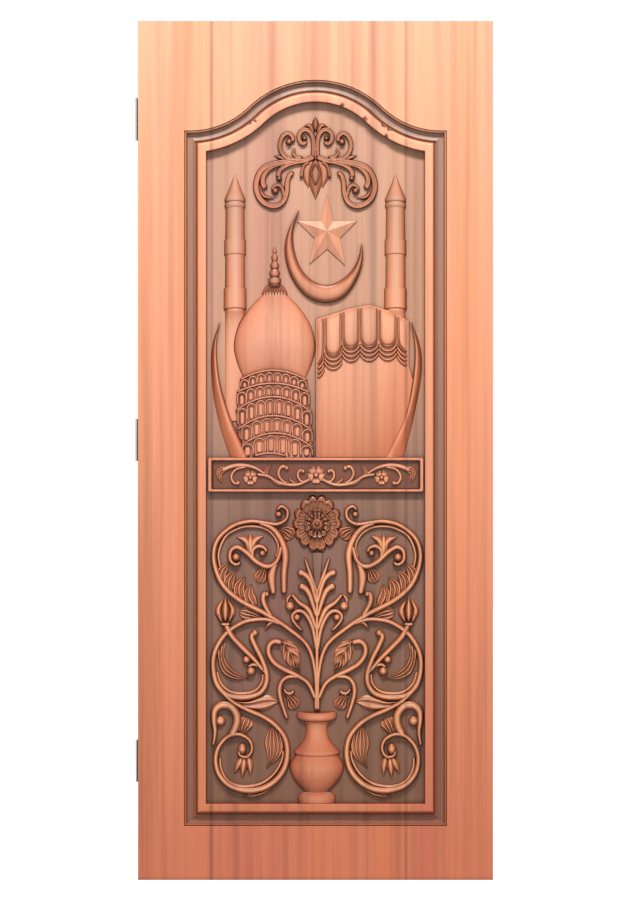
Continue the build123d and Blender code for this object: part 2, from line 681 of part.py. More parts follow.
# Crescent and star
with BuildPart() as crescent:
    with BuildSketch(GROUND_PLANE):
        draw_polygon(trace(CRESCENT_PX))
    extrude(amount=CRESCENT_RELIEF)
save(crescent, "crescent")

with BuildPart() as star:
    with BuildSketch(GROUND_PLANE) as star_face:
        with BuildLine():
            Polyline(*spots(STAR_PX), close=True)
        make_face()
    extrude(amount=STAR_EDGE)
    star_x, star_z = spot(STAR_CENTRE_PX)
    star_top = star_face.sketch.moved(Location((0, -STAR_EDGE, 0)))
    loft([star_top, Vertex(star_x, GROUND_Y - STAR_RELIEF, star_z)], ruled=True)
save(star, "star")

# Rosette: outer petals, inner ring and boss
ROSETTE_PX = (317.2, 523.9)
ROSETTE_PETAL_ANGLES = [25, 78, 128, 180, 232, 282, 335]
ROSETTE_PETAL_SPREAD_PX = (13.6, 16.4)
ROSETTE_PETAL_RADIUS_PX = 10.2
ROSETTE_RING_RADIUS_PX = 10.5
ROSETTE_BOSS_RADIUS_PX = 3.6

with BuildPart() as rosette:
    with BuildSketch(GROUND_PLANE):
        for angle in ROSETTE_PETAL_ANGLES:
            across = ROSETTE_PX[0] + ROSETTE_PETAL_SPREAD_PX[0] * sin(radians(angle))
            up = ROSETTE_PX[1] - ROSETTE_PETAL_SPREAD_PX[1] * cos(radians(angle))
            disc((across, up), ROSETTE_PETAL_RADIUS_PX, FIELD_CENTRE_PX, ROSETTE_SIDES)
    extrude(amount=ROSETTE_PETAL_RELIEF)
    with BuildSketch(GROUND_PLANE) as ring:
        disc(ROSETTE_PX, ROSETTE_RING_RADIUS_PX, FIELD_CENTRE_PX, ROSETTE_SIDES)
    extrude(ring.sketch, amount=ROSETTE_RING_RELIEF)
    with BuildSketch(GROUND_PLANE) as boss:
        disc(ROSETTE_PX, ROSETTE_BOSS_RADIUS_PX, FIELD_CENTRE_PX)
    extrude(boss.sketch, amount=ROSETTE_BOSS_RELIEF)
save(rosette, "rosette")

# Vase
VASE_AXIS_PX = 316.8
VASE_PX = [
    [(297.2, 711.5), (296.8, 719.2)], [(296.8, 719.2), (303.4, 720.4)],
    [(303.4, 720.4), (306, 729.5), (303, 741), (294.6, 749.6)], [(294.6, 749.6), (294.6, 754.4)],
    [(294.6, 754.4), (289.6, 764.4), (291.6, 774.6), (298, 784), (305.2, 791.4)],
    [(305.2, 791.4), (298, 796)], [(298, 796), (298, 803)],
]
vase = make_turning(VASE_AXIS_PX, VASE_PX, VASE_RELIEF)
save(vase, "vase")

# Scrollwork of the lower panel, drawn for the left half
SCROLL_STROKES_PX = [
    ([(316, 711.2), (315.5, 676), (308.3, 647.5), (289, 629.5), (266, 614.5), (239.5, 600.5),
      (222, 584), (213.6, 560),
      (217.4, 540.5), (232, 526.8), (249, 521.8), (264, 523), (277, 524.5), (286, 519.4), (287.4, 511),
      (281.5, 507),
      (276.6, 511.5)], (3.6, 5, 3)),
    ([(262, 523), (276, 532.5), (283, 543.5), (285.3, 555), (283.5, 572), (283, 592)], (4, 5.4, 2)),
    ([(281.5, 546), (277, 561), (268, 567), (257, 562.5), (246, 552.5), (237, 547.5), (230.6, 551.5),
      (230.8, 560.5),
      (236.5, 564.4), (240.5, 560.5)], (4, 5, 3)),
    ([(276.4, 561), (272.5, 577), (273.9, 593.5)], (4, 5.4, 2)),
    ([(253, 560), (254, 550.4), (259.3, 546.8), (265.4, 549), (266, 554)], (4, 4, 3)),
    ([(225.3, 621), (231.8, 636.6), (243.3, 649), (254.7, 660.4), (264, 670)], (4, 5, 4)),
    ([(281, 624.5), (270, 620.5), (258.6, 619.8), (243, 622.8), (226, 634), (215.6, 650), (212.9, 666),
      (216.6, 684),
      (227, 695.4), (243.5, 698), (258.5, 694.2), (265.5, 685.5), (266.5, 674), (262, 660),
      (255.5, 647), (252, 638),
      (256, 633)], (4, 5, 5)),
    ([(267, 673), (258.6, 665.8), (251, 665.6), (246.6, 671), (249.5, 676.4)], (4, 4, 3)),
    ([(315.8, 700), (308.3, 684), (296.8, 675.9), (285.4, 670.5), (275, 664), (269, 655), (269, 646.5),
      (274, 642.2),
      (282, 643)], (4, 5, 4)),
    ([(299, 676.8), (288, 677.4), (281.5, 682.5), (279.4, 691), (281.4, 702), (287, 719)], (4, 5, 2)),
    ([(218, 686), (231.8, 701.5), (247, 710), (262.4, 716.8), (275, 725.3), (284.4, 737.5),
      (287.4, 752), (284.6, 768),
      (275.4, 781), (262, 789), (246, 791), (229.4, 786), (218.6, 774), (215.6, 759), (219.4, 746),
      (229, 736.4),
      (240, 735), (249.3, 740.4), (252, 749.5), (247.5, 756.6), (240.4, 755.6), (238.8, 750)],
     (4, 5.6, 3.4)),
    ([(231, 736), (236, 726), (236.6, 715.5), (230.5, 707), (221.4, 705.6), (214.6, 711), (213.2, 721),
      (214.4, 733),
      (212.6, 746)], (5, 4.6, 2)),
    ([(221, 642), (220.4, 660), (229, 672.4), (248.6, 678.7)], (5, 11, 2)),
    ([(229, 700), (250, 704), (266, 704), (279, 701.5)], (3, 11, 2)),
    ([(272, 618), (264, 605), (263, 595)], (4, 5, 6.4)),
    ([(317, 594), (311, 577), (304.9, 559.5)], (3.4, 3.6, 2)),
    ([(317, 601), (310, 582), (299, 573)], (4, 4.4, 5)),
    ([(317, 614), (309, 594), (300, 586.5)], (4, 4.4, 3)),
    ([(317, 631), (309, 611), (299, 603), (290, 594)], (4, 5.4, 2)),
    ([(317, 652), (312.6, 628), (305, 613.8), (296.8, 612), (292.6, 617.5), (297, 626),
      (303, 631)], (4, 4.6, 2)),
    ([(316.8, 586), (316.8, 620), (316.8, 664), (316.8, 690)], (3.4, 3.4, 3.4)),
]
SCROLL_BLADES_PX = [
    ((220.5, 583), (228, 564.5), 7.4), ((228, 591), (235.6, 572.8), 7.4), ((240, 599), (244.8, 579.3), 7.4),
    ((254, 607.5), (251.7, 586.6), 7.4), ((225.3, 625), (225.3, 597), 18), ((280.5, 641), (300, 671), 16),
    ((272.4, 724), (268, 767), 13), ((250.6, 556), (250, 534), 6), ((250, 555), (238, 537), 5.6),
    ((253, 552), (262.4, 536), 5.6), ((277.6, 532), (292, 534), 10),
    ((241, 735), (247.5, 718.6), 12), ((244, 756), (241.6, 778), 13),
]
SCROLL_EYES_PX = [
    ((278.8, 514), 3.4), ((236.2, 557.8), 5), ((262.4, 553), 4.2), ((251.6, 671.4), 4), ((247, 659.6), 4),
    ((243, 749), 4.8), ((219.6, 719.6), 5.2), ((297.2, 617.6), 4.4),
]
STALK_PX = [(312.4, 553), (322.2, 553), (319.4, 590), (315, 590)]

with BuildPart() as scrollwork:
    with BuildSketch(axis_plane(LOWER_AXIS_PX)):
        for pixels, widths in SCROLL_STROKES_PX:
            stroke(pixels, widths, LOWER_AXIS_PX)
        for base, tip, width in SCROLL_BLADES_PX:
            blade(base, tip, width, LOWER_AXIS_PX)
        for centre, radius in SCROLL_EYES_PX:
            disc(centre, radius, LOWER_AXIS_PX)
        mirror(about=Plane.YZ)
        draw_polygon(spots(STALK_PX, LOWER_AXIS_PX))
        vase_side = trace(VASE_PX, LOWER_AXIS_PX, FACET_TURN)
        draw_polygon(mirrored(vase_side, spot((VASE_AXIS_PX, 0), LOWER_AXIS_PX)[0]), mode=Mode.SUBTRACT)
    extrude(amount=SCROLL_RELIEF)
save(scrollwork, "scrollwork")


# Lift-off hinges: a frame plate with the fixed pin, and a door plate that turns on it
def make_plate(face, back, middle, own_low, own_high):
    """Hinge plate between two X positions, with its own knuckle and clear of the other plate's knuckle."""
    near = min(face, back)
    far = max(face, back)
    clear_y = PIN_Y - KNUCKLE_RADIUS - KNUCKLE_RELIEF
    with BuildPart() as plate:
        box_between((near, PIN_Y - PLATE_REACH, middle - HINGE_HEIGHT / 2),
                    (far, clear_y, middle + HINGE_HEIGHT / 2))
        box_between((near, clear_y, own_low), (far, PIN_Y, own_high))
        with BuildSketch(Plane(origin=(PIN_X, PIN_Y, own_low))):
            RegularPolygon(KNUCKLE_RADIUS, KNUCKLE_SIDES)
        extrude(amount=own_high - own_low)
    return plate


def make_frame_plate(middle):
    """Plate that is screwed to the jamb, with the lower knuckle and the pin."""
    face = -LEAF_WIDTH / 2 - HINGE_GAP
    low = middle - HINGE_HEIGHT / 2
    plate = make_plate(face, face - PLATE_THICKNESS, middle, low, middle - KNUCKLE_GAP)
    with plate:
        with Locations((PIN_X, PIN_Y, middle)):
            Cylinder(PIN_RADIUS, HINGE_HEIGHT)
        screw_y = PIN_Y - PLATE_REACH * SCREW_CENTRE_SHARE
        with Locations(Plane(origin=(face, screw_y, middle), x_dir=(0, 1, 0), z_dir=(-1, 0, 0))):
            with GridLocations(SCREW_SPACING, SCREW_SPACING, 1, 2):
                Cylinder(SCREW_HOLE_RADIUS, 4 * PLATE_THICKNESS, mode=Mode.SUBTRACT)
    return plate


def make_door_plate(middle):
    """Plate let into the hinge stile, with the upper knuckle."""
    face = -LEAF_WIDTH / 2
    plate = make_plate(face, face + PLATE_THICKNESS, middle, middle, middle + HINGE_HEIGHT / 2)
    with plate:
        with Locations((PIN_X, PIN_Y, middle)):
            Cylinder(PIN_RADIUS + PIN_CLEARANCE, HINGE_HEIGHT, mode=Mode.SUBTRACT)
    return plate


for place, middle in HINGES.items():
    save(make_frame_plate(middle), f"{place}_hinge_frame_plate")
    save(make_door_plate(middle), f"{place}_hinge_door_plate")
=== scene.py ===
"""Looks of the carved door leaf: timber, fine carving and steel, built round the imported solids.

Lengths are metres in the frame of the solids: X across, the carved face towards -Y, Z up. Carving is placed
by the pixels of the picture, as in the part's own source, and drawn for one half where both halves mirror
each other.
"""
import json
from math import asin, cos, exp, pi, radians, sin, sqrt

import bmesh
import bpy
from mathutils import Matrix, Vector


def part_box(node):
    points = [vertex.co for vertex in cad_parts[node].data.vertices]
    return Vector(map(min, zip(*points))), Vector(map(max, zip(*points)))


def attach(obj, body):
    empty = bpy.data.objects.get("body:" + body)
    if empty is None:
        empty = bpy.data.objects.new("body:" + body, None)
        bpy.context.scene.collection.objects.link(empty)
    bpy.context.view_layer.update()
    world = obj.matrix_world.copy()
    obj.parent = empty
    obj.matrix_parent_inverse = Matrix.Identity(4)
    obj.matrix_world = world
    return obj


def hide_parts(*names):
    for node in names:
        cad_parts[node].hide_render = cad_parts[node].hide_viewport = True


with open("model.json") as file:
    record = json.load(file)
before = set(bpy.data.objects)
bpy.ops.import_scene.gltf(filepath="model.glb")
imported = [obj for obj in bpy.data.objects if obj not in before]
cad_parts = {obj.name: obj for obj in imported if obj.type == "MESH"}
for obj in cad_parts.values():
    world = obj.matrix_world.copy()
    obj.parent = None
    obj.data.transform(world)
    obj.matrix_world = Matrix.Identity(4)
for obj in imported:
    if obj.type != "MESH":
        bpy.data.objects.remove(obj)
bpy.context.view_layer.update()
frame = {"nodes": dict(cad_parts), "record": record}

MM = 0.001

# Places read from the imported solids
OPENING_HALF = -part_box("left_moulding")[0].x
FIELD_HALF = -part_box("left_moulding")[1].x
FOOT_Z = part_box("foot_moulding")[0].z
FIELD_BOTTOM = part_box("foot_moulding")[1].z
CROWN_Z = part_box("head_moulding")[1].z
MOULDING_WIDTH = OPENING_HALF - FIELD_HALF
FRONT_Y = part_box("hinge_stile")[0].y
GROUND_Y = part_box("upper_panel")[0].y
LEAF_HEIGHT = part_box("hinge_stile")[1].z

# Picture pixels of the field and of the lines that the carving is balanced on
FIELD_CENTRE_PX = 315.5
FIELD_WIDTH_PX = 218.0
FIELD_BOTTOM_PX = 803.5
FIELD_HEIGHT_PX = 701.0
LOWER_AXIS_PX = 317.0
BAND_AXIS_PX = 316.0
ACROSS_SCALE = 2 * FIELD_HALF / FIELD_WIDTH_PX
UP_SCALE = (CROWN_Z - MOULDING_WIDTH - FIELD_BOTTOM) / FIELD_HEIGHT_PX

# How finely lines and faces are divided
TINY = 1e-9
MERGE_DISTANCE = 0.02 * MM
STEP_PX = 1.5
SPLINE_STEPS = 14
LINE_STEPS_LEAST = 8
LEAF_STEPS_LEAST = 12
SPINE_STEPS = 18
STEM_ACROSS = 8
RIB_ACROSS = 10
PETAL_STEPS = 24
PETAL_ACROSS = 18

# How far a piece's back is sunk, and the shares that give stems, leaves and fans their swell
SINK = 0.6 * MM
CROWN_POWER = 0.88
SCOOP_SHARE = 0.42
RIB_DEPTH = 0.72
RIB_POWER = 1.1
LEAF_END = 0.5
LEAF_SWEEP = 1.15
BLADE_POWER = 0.8
FAN_FOOT = 0.18
FAN_GROWTH = 1.15
FAN_ROUND_FROM = 0.7

# Shares of a petal: its notch, corners, root and edges, its raised rim and its veins
PETAL_NOTCH = 0.09
PETAL_NOTCH_HALF = 0.2
PETAL_CORNER = 0.2
PETAL_CORNER_POWER = 5
PETAL_ROOT = 0.12
PETAL_EDGE = 0.62
PETAL_EDGE_SLOPE = 4
PETAL_FLOOR = 0.4
PETAL_TILT = 0.14
PETAL_RIM = 0.46
PETAL_RIM_PLACE = 0.7
PETAL_RIM_HALF = 0.18
PETAL_VEIN_DEPTH = 0.46
PETAL_VEIN_POWER = 0.6


# Drawing on the ground
def spot(pixel):
    """Place of a picture pixel on the ground, across and up."""
    return Vector(((pixel[0] - FIELD_CENTRE_PX) * ACROSS_SCALE,
                   FIELD_BOTTOM + (FIELD_BOTTOM_PX - pixel[1]) * UP_SCALE))


def turned(pixels, axis, side):
    """The pixels themselves, or their mirror image about an upright axis."""
    return [(axis + side * (across - axis), up) for across, up in pixels]


def length_of(line):
    """Length of a line through its places."""
    return sum((end - start).length for start, end in zip(line, line[1:]))


def smooth_line(pixels, count=None):
    """Evenly spaced pixels on a smooth line through the given ones."""
    knots = [Vector(pixel) for pixel in pixels]
    knots = [2 * knots[0] - knots[1], *knots, 2 * knots[-1] - knots[-2]]
    fine = []
    for before, start, end, after in zip(knots, knots[1:], knots[2:], knots[3:]):
        for step in range(SPLINE_STEPS):
            t = step / SPLINE_STEPS
            bend = 2 * before - 5 * start + 4 * end - after
            twist = 3 * start - before - 3 * end + after
            fine.append((2 * start + (end - before) * t + bend * t * t + twist * t ** 3) / 2)
    fine.append(knots[-2])
    lengths = [0.0]
    for start, end in zip(fine, fine[1:]):
        lengths.append(lengths[-1] + (end - start).length)
    if count is None:
        count = max(LINE_STEPS_LEAST, int(lengths[-1] / STEP_PX))
    even = []
    place = 0
    for step in range(count + 1):
        goal = lengths[-1] * step / count
        while place < len(fine) - 2 and lengths[place + 1] < goal:
            place += 1
        run = max(lengths[place + 1] - lengths[place], TINY)
        even.append(fine[place].lerp(fine[place + 1], min(1.0, (goal - lengths[place]) / run)))
    return even


def normals_of(line):
    """Sideways unit direction at every place of a line."""
    sideways = []
    for index in range(len(line)):
        along = line[min(index + 1, len(line) - 1)] - line[max(index - 1, 0)]
        along.normalize()
        sideways.append(Vector((-along.y, along.x)))
    return sideways


def crowned_strip(bm, left, right, rise, base=0.0, across=STEM_ACROSS, bow=0.0):
    """Closed strip between two rows of pixels, its back sunk in what carries it and its face raised.

    bow: how far the first row's middle lies above its ends, in pixels.
    """
    along = len(left) - 1
    made = bmesh.ops.create_grid(bm, x_segments=along, y_segments=across + 1, size=1.0)
    for vert in made["verts"]:
        index = round((vert.co.x + 1) / 2 * along)
        turn = pi * (round((vert.co.y + 1) / 2 * (across + 1)) % (across + 1)) / across
        share = (1 - cos(turn)) / 2
        pixel = left[index].lerp(right[index], share)
        pixel.y -= bow * (1 - index / along) * (1 - (2 * share - 1) ** 2)
        place = spot(pixel)
        height = rise(index / along, 2 * share - 1) * max(sin(turn), 0.0) ** CROWN_POWER
        vert.co = (place.x, GROUND_Y - base + SINK - height, place.y)
    bmesh.ops.remove_doubles(bm, verts=made["verts"], dist=MERGE_DISTANCE)


def stem(bm, pixels, widths, relief, base=0.0, across=STEM_ACROSS, scoop=0.0):
    """Rounded stem along a smooth line, with start, middle and end widths in pixels and round tips."""
    line = smooth_line(pixels)
    sideways = normals_of(line)
    count = len(line) - 1
    length = length_of(line)
    start_width, middle_width, end_width = widths
    left = []
    right = []
    tips = []
    for index, place in enumerate(line):
        share = index / count
        if share < 0.5:
            width = start_width + (middle_width - start_width) * share * 2
        else:
            width = middle_width + (end_width - middle_width) * (share * 2 - 1)
        reach = min(share, 1 - share) * length / (width / 2)
        tip = sqrt(1 - (1 - min(reach, 1.0)) ** 2)
        tips.append(tip)
        left.append(place + sideways[index] * width / 2 * tip)
        right.append(place - sideways[index] * width / 2 * tip)

    def rise(u, s):
        return relief * sqrt(tips[round(u * count)]) * (1 - scoop * exp(-(s / SCOOP_SHARE) ** 2))

    crowned_strip(bm, left, right, rise, base, across)


def ribbed(relief, ribs, slant=0.0):
    """Face of a leaf with ribs that run along it, or slant out from its middle."""
    def rise(u, s):
        turns = ribs * u - slant * abs(s) if slant else ribs * (s + 1) / 2
        wave = abs(sin(pi * turns)) ** RIB_POWER
        swell = LEAF_END + (1 - LEAF_END) * sqrt(sin(pi * min(u * LEAF_SWEEP, 1.0)))
        return relief * swell * (1 - RIB_DEPTH * (1 - wave))
    return rise


def steps_across(ribs):
    """Divisions across a leaf, enough to draw its ribs."""
    return STEM_ACROSS if ribs < 2 else RIB_ACROSS * ribs


def leaf(bm, edges, relief, ribs, slant):
    """Leaf between two edge lines."""
    length = length_of([Vector(pixel) for pixel in edges[0]])
    count = max(LEAF_STEPS_LEAST, int(length / STEP_PX))
    left, right = [smooth_line(edge, count) for edge in edges]
    crowned_strip(bm, left, right, ribbed(relief, ribs, slant), across=steps_across(ribs))


def blade(bm, spine, width, relief, ribs=1, fan=False, base=0.0):
    """Leaf round a spine: pointed, or widening to a round fan."""
    line = smooth_line(spine, SPINE_STEPS)
    sideways = normals_of(line)
    left = []
    right = []
    for index, place in enumerate(line):
        u = index / SPINE_STEPS
        if fan:
            past = max(0.0, (u - FAN_ROUND_FROM) / (1 - FAN_ROUND_FROM))
            wide = min(1.0, FAN_FOOT + FAN_GROWTH * u) * sqrt(max(0.0, 1 - past ** 2))
        else:
            wide = max(0.0, sin(pi * u ** BLADE_POWER)) ** BLADE_POWER
        left.append(place + sideways[index] * width / 2 * wide)
        right.append(place - sideways[index] * width / 2 * wide)
    crowned_strip(bm, left, right, ribbed(relief, ribs), base, steps_across(ribs))


def petal(bm, centre, angle, reach, half_angle, relief, base=0.0, veins=3):
    """Heart shaped petal, clockwise from the top: veined, scooped towards the middle, its rim notched."""
    inner = []
    outer = []
    for step in range(PETAL_STEPS + 1):
        share = 2 * step / PETAL_STEPS - 1
        turn = radians(angle + half_angle * share)
        notch = PETAL_NOTCH * exp(-(share / PETAL_NOTCH_HALF) ** 2)
        corner = PETAL_CORNER * abs(share) ** PETAL_CORNER_POWER
        direction = Vector((sin(turn) * reach[0], -cos(turn) * reach[1]))
        inner.append(Vector(centre) + direction * PETAL_ROOT)
        outer.append(Vector(centre) + direction * (1 - notch) * (1 - corner))

    def rise(u, s):
        edge = min(1.0, PETAL_EDGE_SLOPE * min(u, 1 - u) + PETAL_EDGE)
        vein = abs(sin(pi * veins * u)) ** PETAL_VEIN_POWER
        rim = exp(-((s - PETAL_RIM_PLACE) / PETAL_RIM_HALF) ** 2)
        face = PETAL_FLOOR + PETAL_TILT * (s + 1) / 2 + PETAL_RIM * rim
        return relief * edge * face * (1 - PETAL_VEIN_DEPTH * (1 - vein) * (1 - rim))

    crowned_strip(bm, inner, outer, rise, base, PETAL_ACROSS)


def knob(bm, centre, radius, relief, base=0.0, tall=1.0):
    """Round knob, flattened into relief."""
    place = spot(centre)
    at = Matrix.Translation((place.x, GROUND_Y - base, place.y))
    size = Matrix.Diagonal((radius * ACROSS_SCALE, relief, radius * tall * UP_SCALE, 1.0))
    upright = Matrix.Rotation(radians(90), 4, "X")
    bmesh.ops.create_uvsphere(bm, u_segments=20, v_segments=12, radius=1.0, matrix=at @ size @ upright)


def turning(bm, axis, silhouette, relief, steps=48, sag=0.0):
    """Turned form, flattened into relief with a flat back, from the pixels of its left silhouette.

    sag: how far its rings hang down in front, in pixels, as seen from a little above.
    """
    middle = spot((axis, 0)).x
    widest = max(axis - across for across, up in silhouette) * ACROSS_SCALE
    places = [spot(pixel) for pixel in silhouette]
    verts = [bm.verts.new((place.x, GROUND_Y, place.y)) for place in places]
    edges = [bm.edges.new(pair) for pair in zip(verts, verts[1:])]
    bmesh.ops.spin(bm, geom=verts + edges, cent=(middle, GROUND_Y, 0), axis=(0, 0, 1), angle=2 * pi,
                   steps=steps, use_merge=True)
    for vert in bm.verts:
        deep = vert.co.y - GROUND_Y
        vert.co.z -= sag * UP_SCALE * max(0.0, -deep / widest)
        vert.co.y = GROUND_Y + (SINK if deep > 0 else deep * relief / widest)
    bmesh.ops.remove_doubles(bm, verts=bm.verts, dist=MERGE_DISTANCE)
    bmesh.ops.holes_fill(bm, edges=[edge for edge in bm.edges if edge.is_boundary])


def silhouette_of(runs):
    """One row of pixels from straight runs (two pixels) and smooth runs (more than two)."""
    row = []
    for run in runs:
        points = [Vector(pixel) for pixel in run] if len(run) == 2 else smooth_line(run, 6 * len(run))
        row.extend(points if not row else points[1:])
    return row


def plate(bm, outline, relief, soft):
    """Flat raised field with a softened rim, from the pixels of its outline."""
    places = [spot(pixel) for pixel in outline]
    verts = [bm.verts.new((place.x, GROUND_Y + SINK, place.y)) for place in places]
    foot = bmesh.ops.contextual_create(bm, geom=verts)["faces"]
    raised = bmesh.ops.extrude_face_region(bm, geom=foot, use_keep_orig=True)["geom"]
    top = [item for item in raised if isinstance(item, bmesh.types.BMVert)]
    bmesh.ops.translate(bm, verts=top, vec=(0, -relief - SINK, 0))
    rim = [edge for edge in bm.edges if edge.verts[0] in top and edge.verts[1] in top]
    bmesh.ops.bevel(bm, geom=rim, offset=soft, affect="EDGES", segments=3, profile=0.5, material=-1)


def to_object(bm, name, material):
    """Turn a finished mesh into an object of the scene."""
    mesh = bpy.data.meshes.new(name)
    bm.to_mesh(mesh)
    bm.free()
    mesh.materials.append(material)
    made = bpy.data.objects.new(name, mesh)
    bpy.context.scene.collection.objects.link(made)
    return made


def add_piece(bm, name, material, solid=None, body="leaf", smooth=True):
    """Turn a finished mesh into a piece that rides on a body and stands for a solid."""
    bmesh.ops.recalc_face_normals(bm, faces=bm.faces)
    for face in bm.faces:
        face.smooth = smooth
    piece = to_object(bm, name, material)
    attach(piece, body)
    if solid:
        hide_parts(solid)
    return piece


def smooth_by_angle(piece, angle=38):
    """Keep the arrises of a moulding or a turning sharp."""
    piece.data.set_sharp_from_angle(angle=radians(angle))


# Materials
def colour(code):
    """Linear colour of an sRGB hex value."""
    parts = [int(code[start:start + 2], 16) / 255 for start in (1, 3, 5)]
    linear = [part / 12.92 if part <= 0.04045 else ((part + 0.055) / 1.055) ** 2.4 for part in parts]
    return (*linear, 1.0)


def node(tree, kind, sockets=None, stops=None, **settings):
    """Add a node with its settings, link or set its input sockets, and give a colour ramp its stops."""
    made = tree.nodes.new(kind)
    for key, value in settings.items():
        setattr(made, key, value)
    for key, source in (sockets or {}).items():
        if isinstance(source, bpy.types.NodeSocket):
            tree.links.new(source, made.inputs[key])
        else:
            made.inputs[key].default_value = source
    if stops:
        elements = made.color_ramp.elements
        while len(elements) < len(stops):
            elements.new(0.5)
        for element, (place, shade) in zip(elements, stops):
            element.position = place
            element.color = colour(shade) if isinstance(shade, str) else (shade, shade, shade, 1.0)
    return made


def new_material(name):
    """Empty node material with its shader."""
    material = bpy.data.materials.new(name)
    material.use_nodes = True
    tree = material.node_tree
    return material, tree, tree.nodes["Principled BSDF"]


# Patterns along the timber and the steel: width, length, detail and roughness of their streaks.
# Real pores are about 0.3 mm wide and real brush lines 0.1 mm, both drawn coarser so that they show.
STREAK = (25 * MM, 1430 * MM, 4.0, 0.55)
BOARD = (111 * MM, 2860 * MM, 2.0, 0.5)
PORE = (2.38 * MM, 167 * MM, 3.0, 0.6)
BRUSH = (1.11 * MM, 83.3 * MM, 4.0, 0.5)
STREAK_STOPS = [(0.3, 0.7), (0.45, 0.9), (0.55, 1.0), (0.72, 1.0)]
BOARD_STOPS = [(0.3, "#F2D9DA"), (0.5, "#FFF6EE"), (0.7, "#FFF0DE")]
PORE_STOPS = [(0.3, 0.93), (0.6, 1.0)]
PORE_DEPTH = 0.4 * MM
PORE_STRENGTH = 0.12
BRUSH_STOPS = [(0.3, "#8E8E90"), (0.7, "#B4B4B6")]
BRUSH_GLOSS_STOPS = [(0.3, 0.28), (0.7, 0.46)]

# Two dark streaks where the boards of the face meet
BOARD_JOINTS = (-246.2 * MM, 214.2 * MM)
BOARD_JOINT_WIDTH = 7 * MM
BOARD_JOINT_STOPS = [(0.0, "#D0CAD6"), (0.5, "#ECE8EC"), (1.0, "#FFFFFF")]

# Painted shade on a moulding's bead and in its hollow, real stain in its chips; painted shade on slopes from
# steep to flat, and in corners
HOLLOW_SHADE_AND_CHIP_STOPS = [(0.0, "#FFFFFF"), (0.5, "#B1C3D4"), (0.75, "#D2D2CC"), (1.0, "#B49888")]
# Painted shade on slopes, darker the more a face turns from looking straight out; on the carvings only faces
# looking straight out keep their full, light colour, as a painted highlight
FRAME_SLOPE_SHADE = [(0.15, "#E2CCBE"), (0.97, "#FFFFFF")]
PLANED_SLOPE_SHADE = [(0.15, "#8F6244"), (0.62, "#C89878"), (0.97, "#FFFFFF")]
CARVED_SLOPE_SHADE = [(0.3, "#5E3A22"), (0.72, "#9A7258"), (0.92, "#C69E84"), (0.99, "#FFF6F0")]
PICTURE_SLOPE_SHADE = [(0.4, "#6A452C"), (0.86, "#AC8468"), (0.96, "#DCBCA8"), (0.992, "#F4E4DA"), (1.0, "#FFFFFF")]
# Painted shade in tight corners: how far it reaches, and where it is darkest and where it clears
CORNER_REACH = 14 * MM
TOWER_CORNER_REACH = 6 * MM
CORNER_DARK = 0.25
CORNER_CLEAR = 0.9
HOLLOW_RUN = 1.5 * MM
TEAK_SPECULAR = 0.35

# Colour sockets of a mix node
MIX_FIRST = 6
MIX_SECOND = 7
MIX_RESULT = 2


def streaks(tree, place, pattern):
    """Noise drawn out along the height of the leaf."""
    width, length, detail, roughness = pattern
    stretch = node(tree, "ShaderNodeMapping", {"Vector": place.outputs["Object"],
                                               "Scale": (1 / width, 1 / width, 1 / length)})
    noise = node(tree, "ShaderNodeTexNoise", {"Vector": stretch.outputs[0], "Scale": 1.0, "Detail": detail,
                                              "Roughness": roughness})
    return noise.outputs["Fac"]


def joint_distance(tree, parts):
    """Distance from the nearest joint between boards, as a share of a joint's width."""
    nearest = None
    for across in BOARD_JOINTS:
        offset = node(tree, "ShaderNodeMath", {0: parts.outputs["X"], 1: across}, operation="SUBTRACT")
        away = node(tree, "ShaderNodeMath", {0: offset.outputs[0]}, operation="ABSOLUTE")
        if nearest:
            away = node(tree, "ShaderNodeMath", {0: away.outputs[0], 1: nearest.outputs[0]},
                        operation="MINIMUM")
        nearest = away
    near = node(tree, "ShaderNodeMapRange", {"Value": nearest.outputs[0], "From Max": BOARD_JOINT_WIDTH})
    return near.outputs[0]


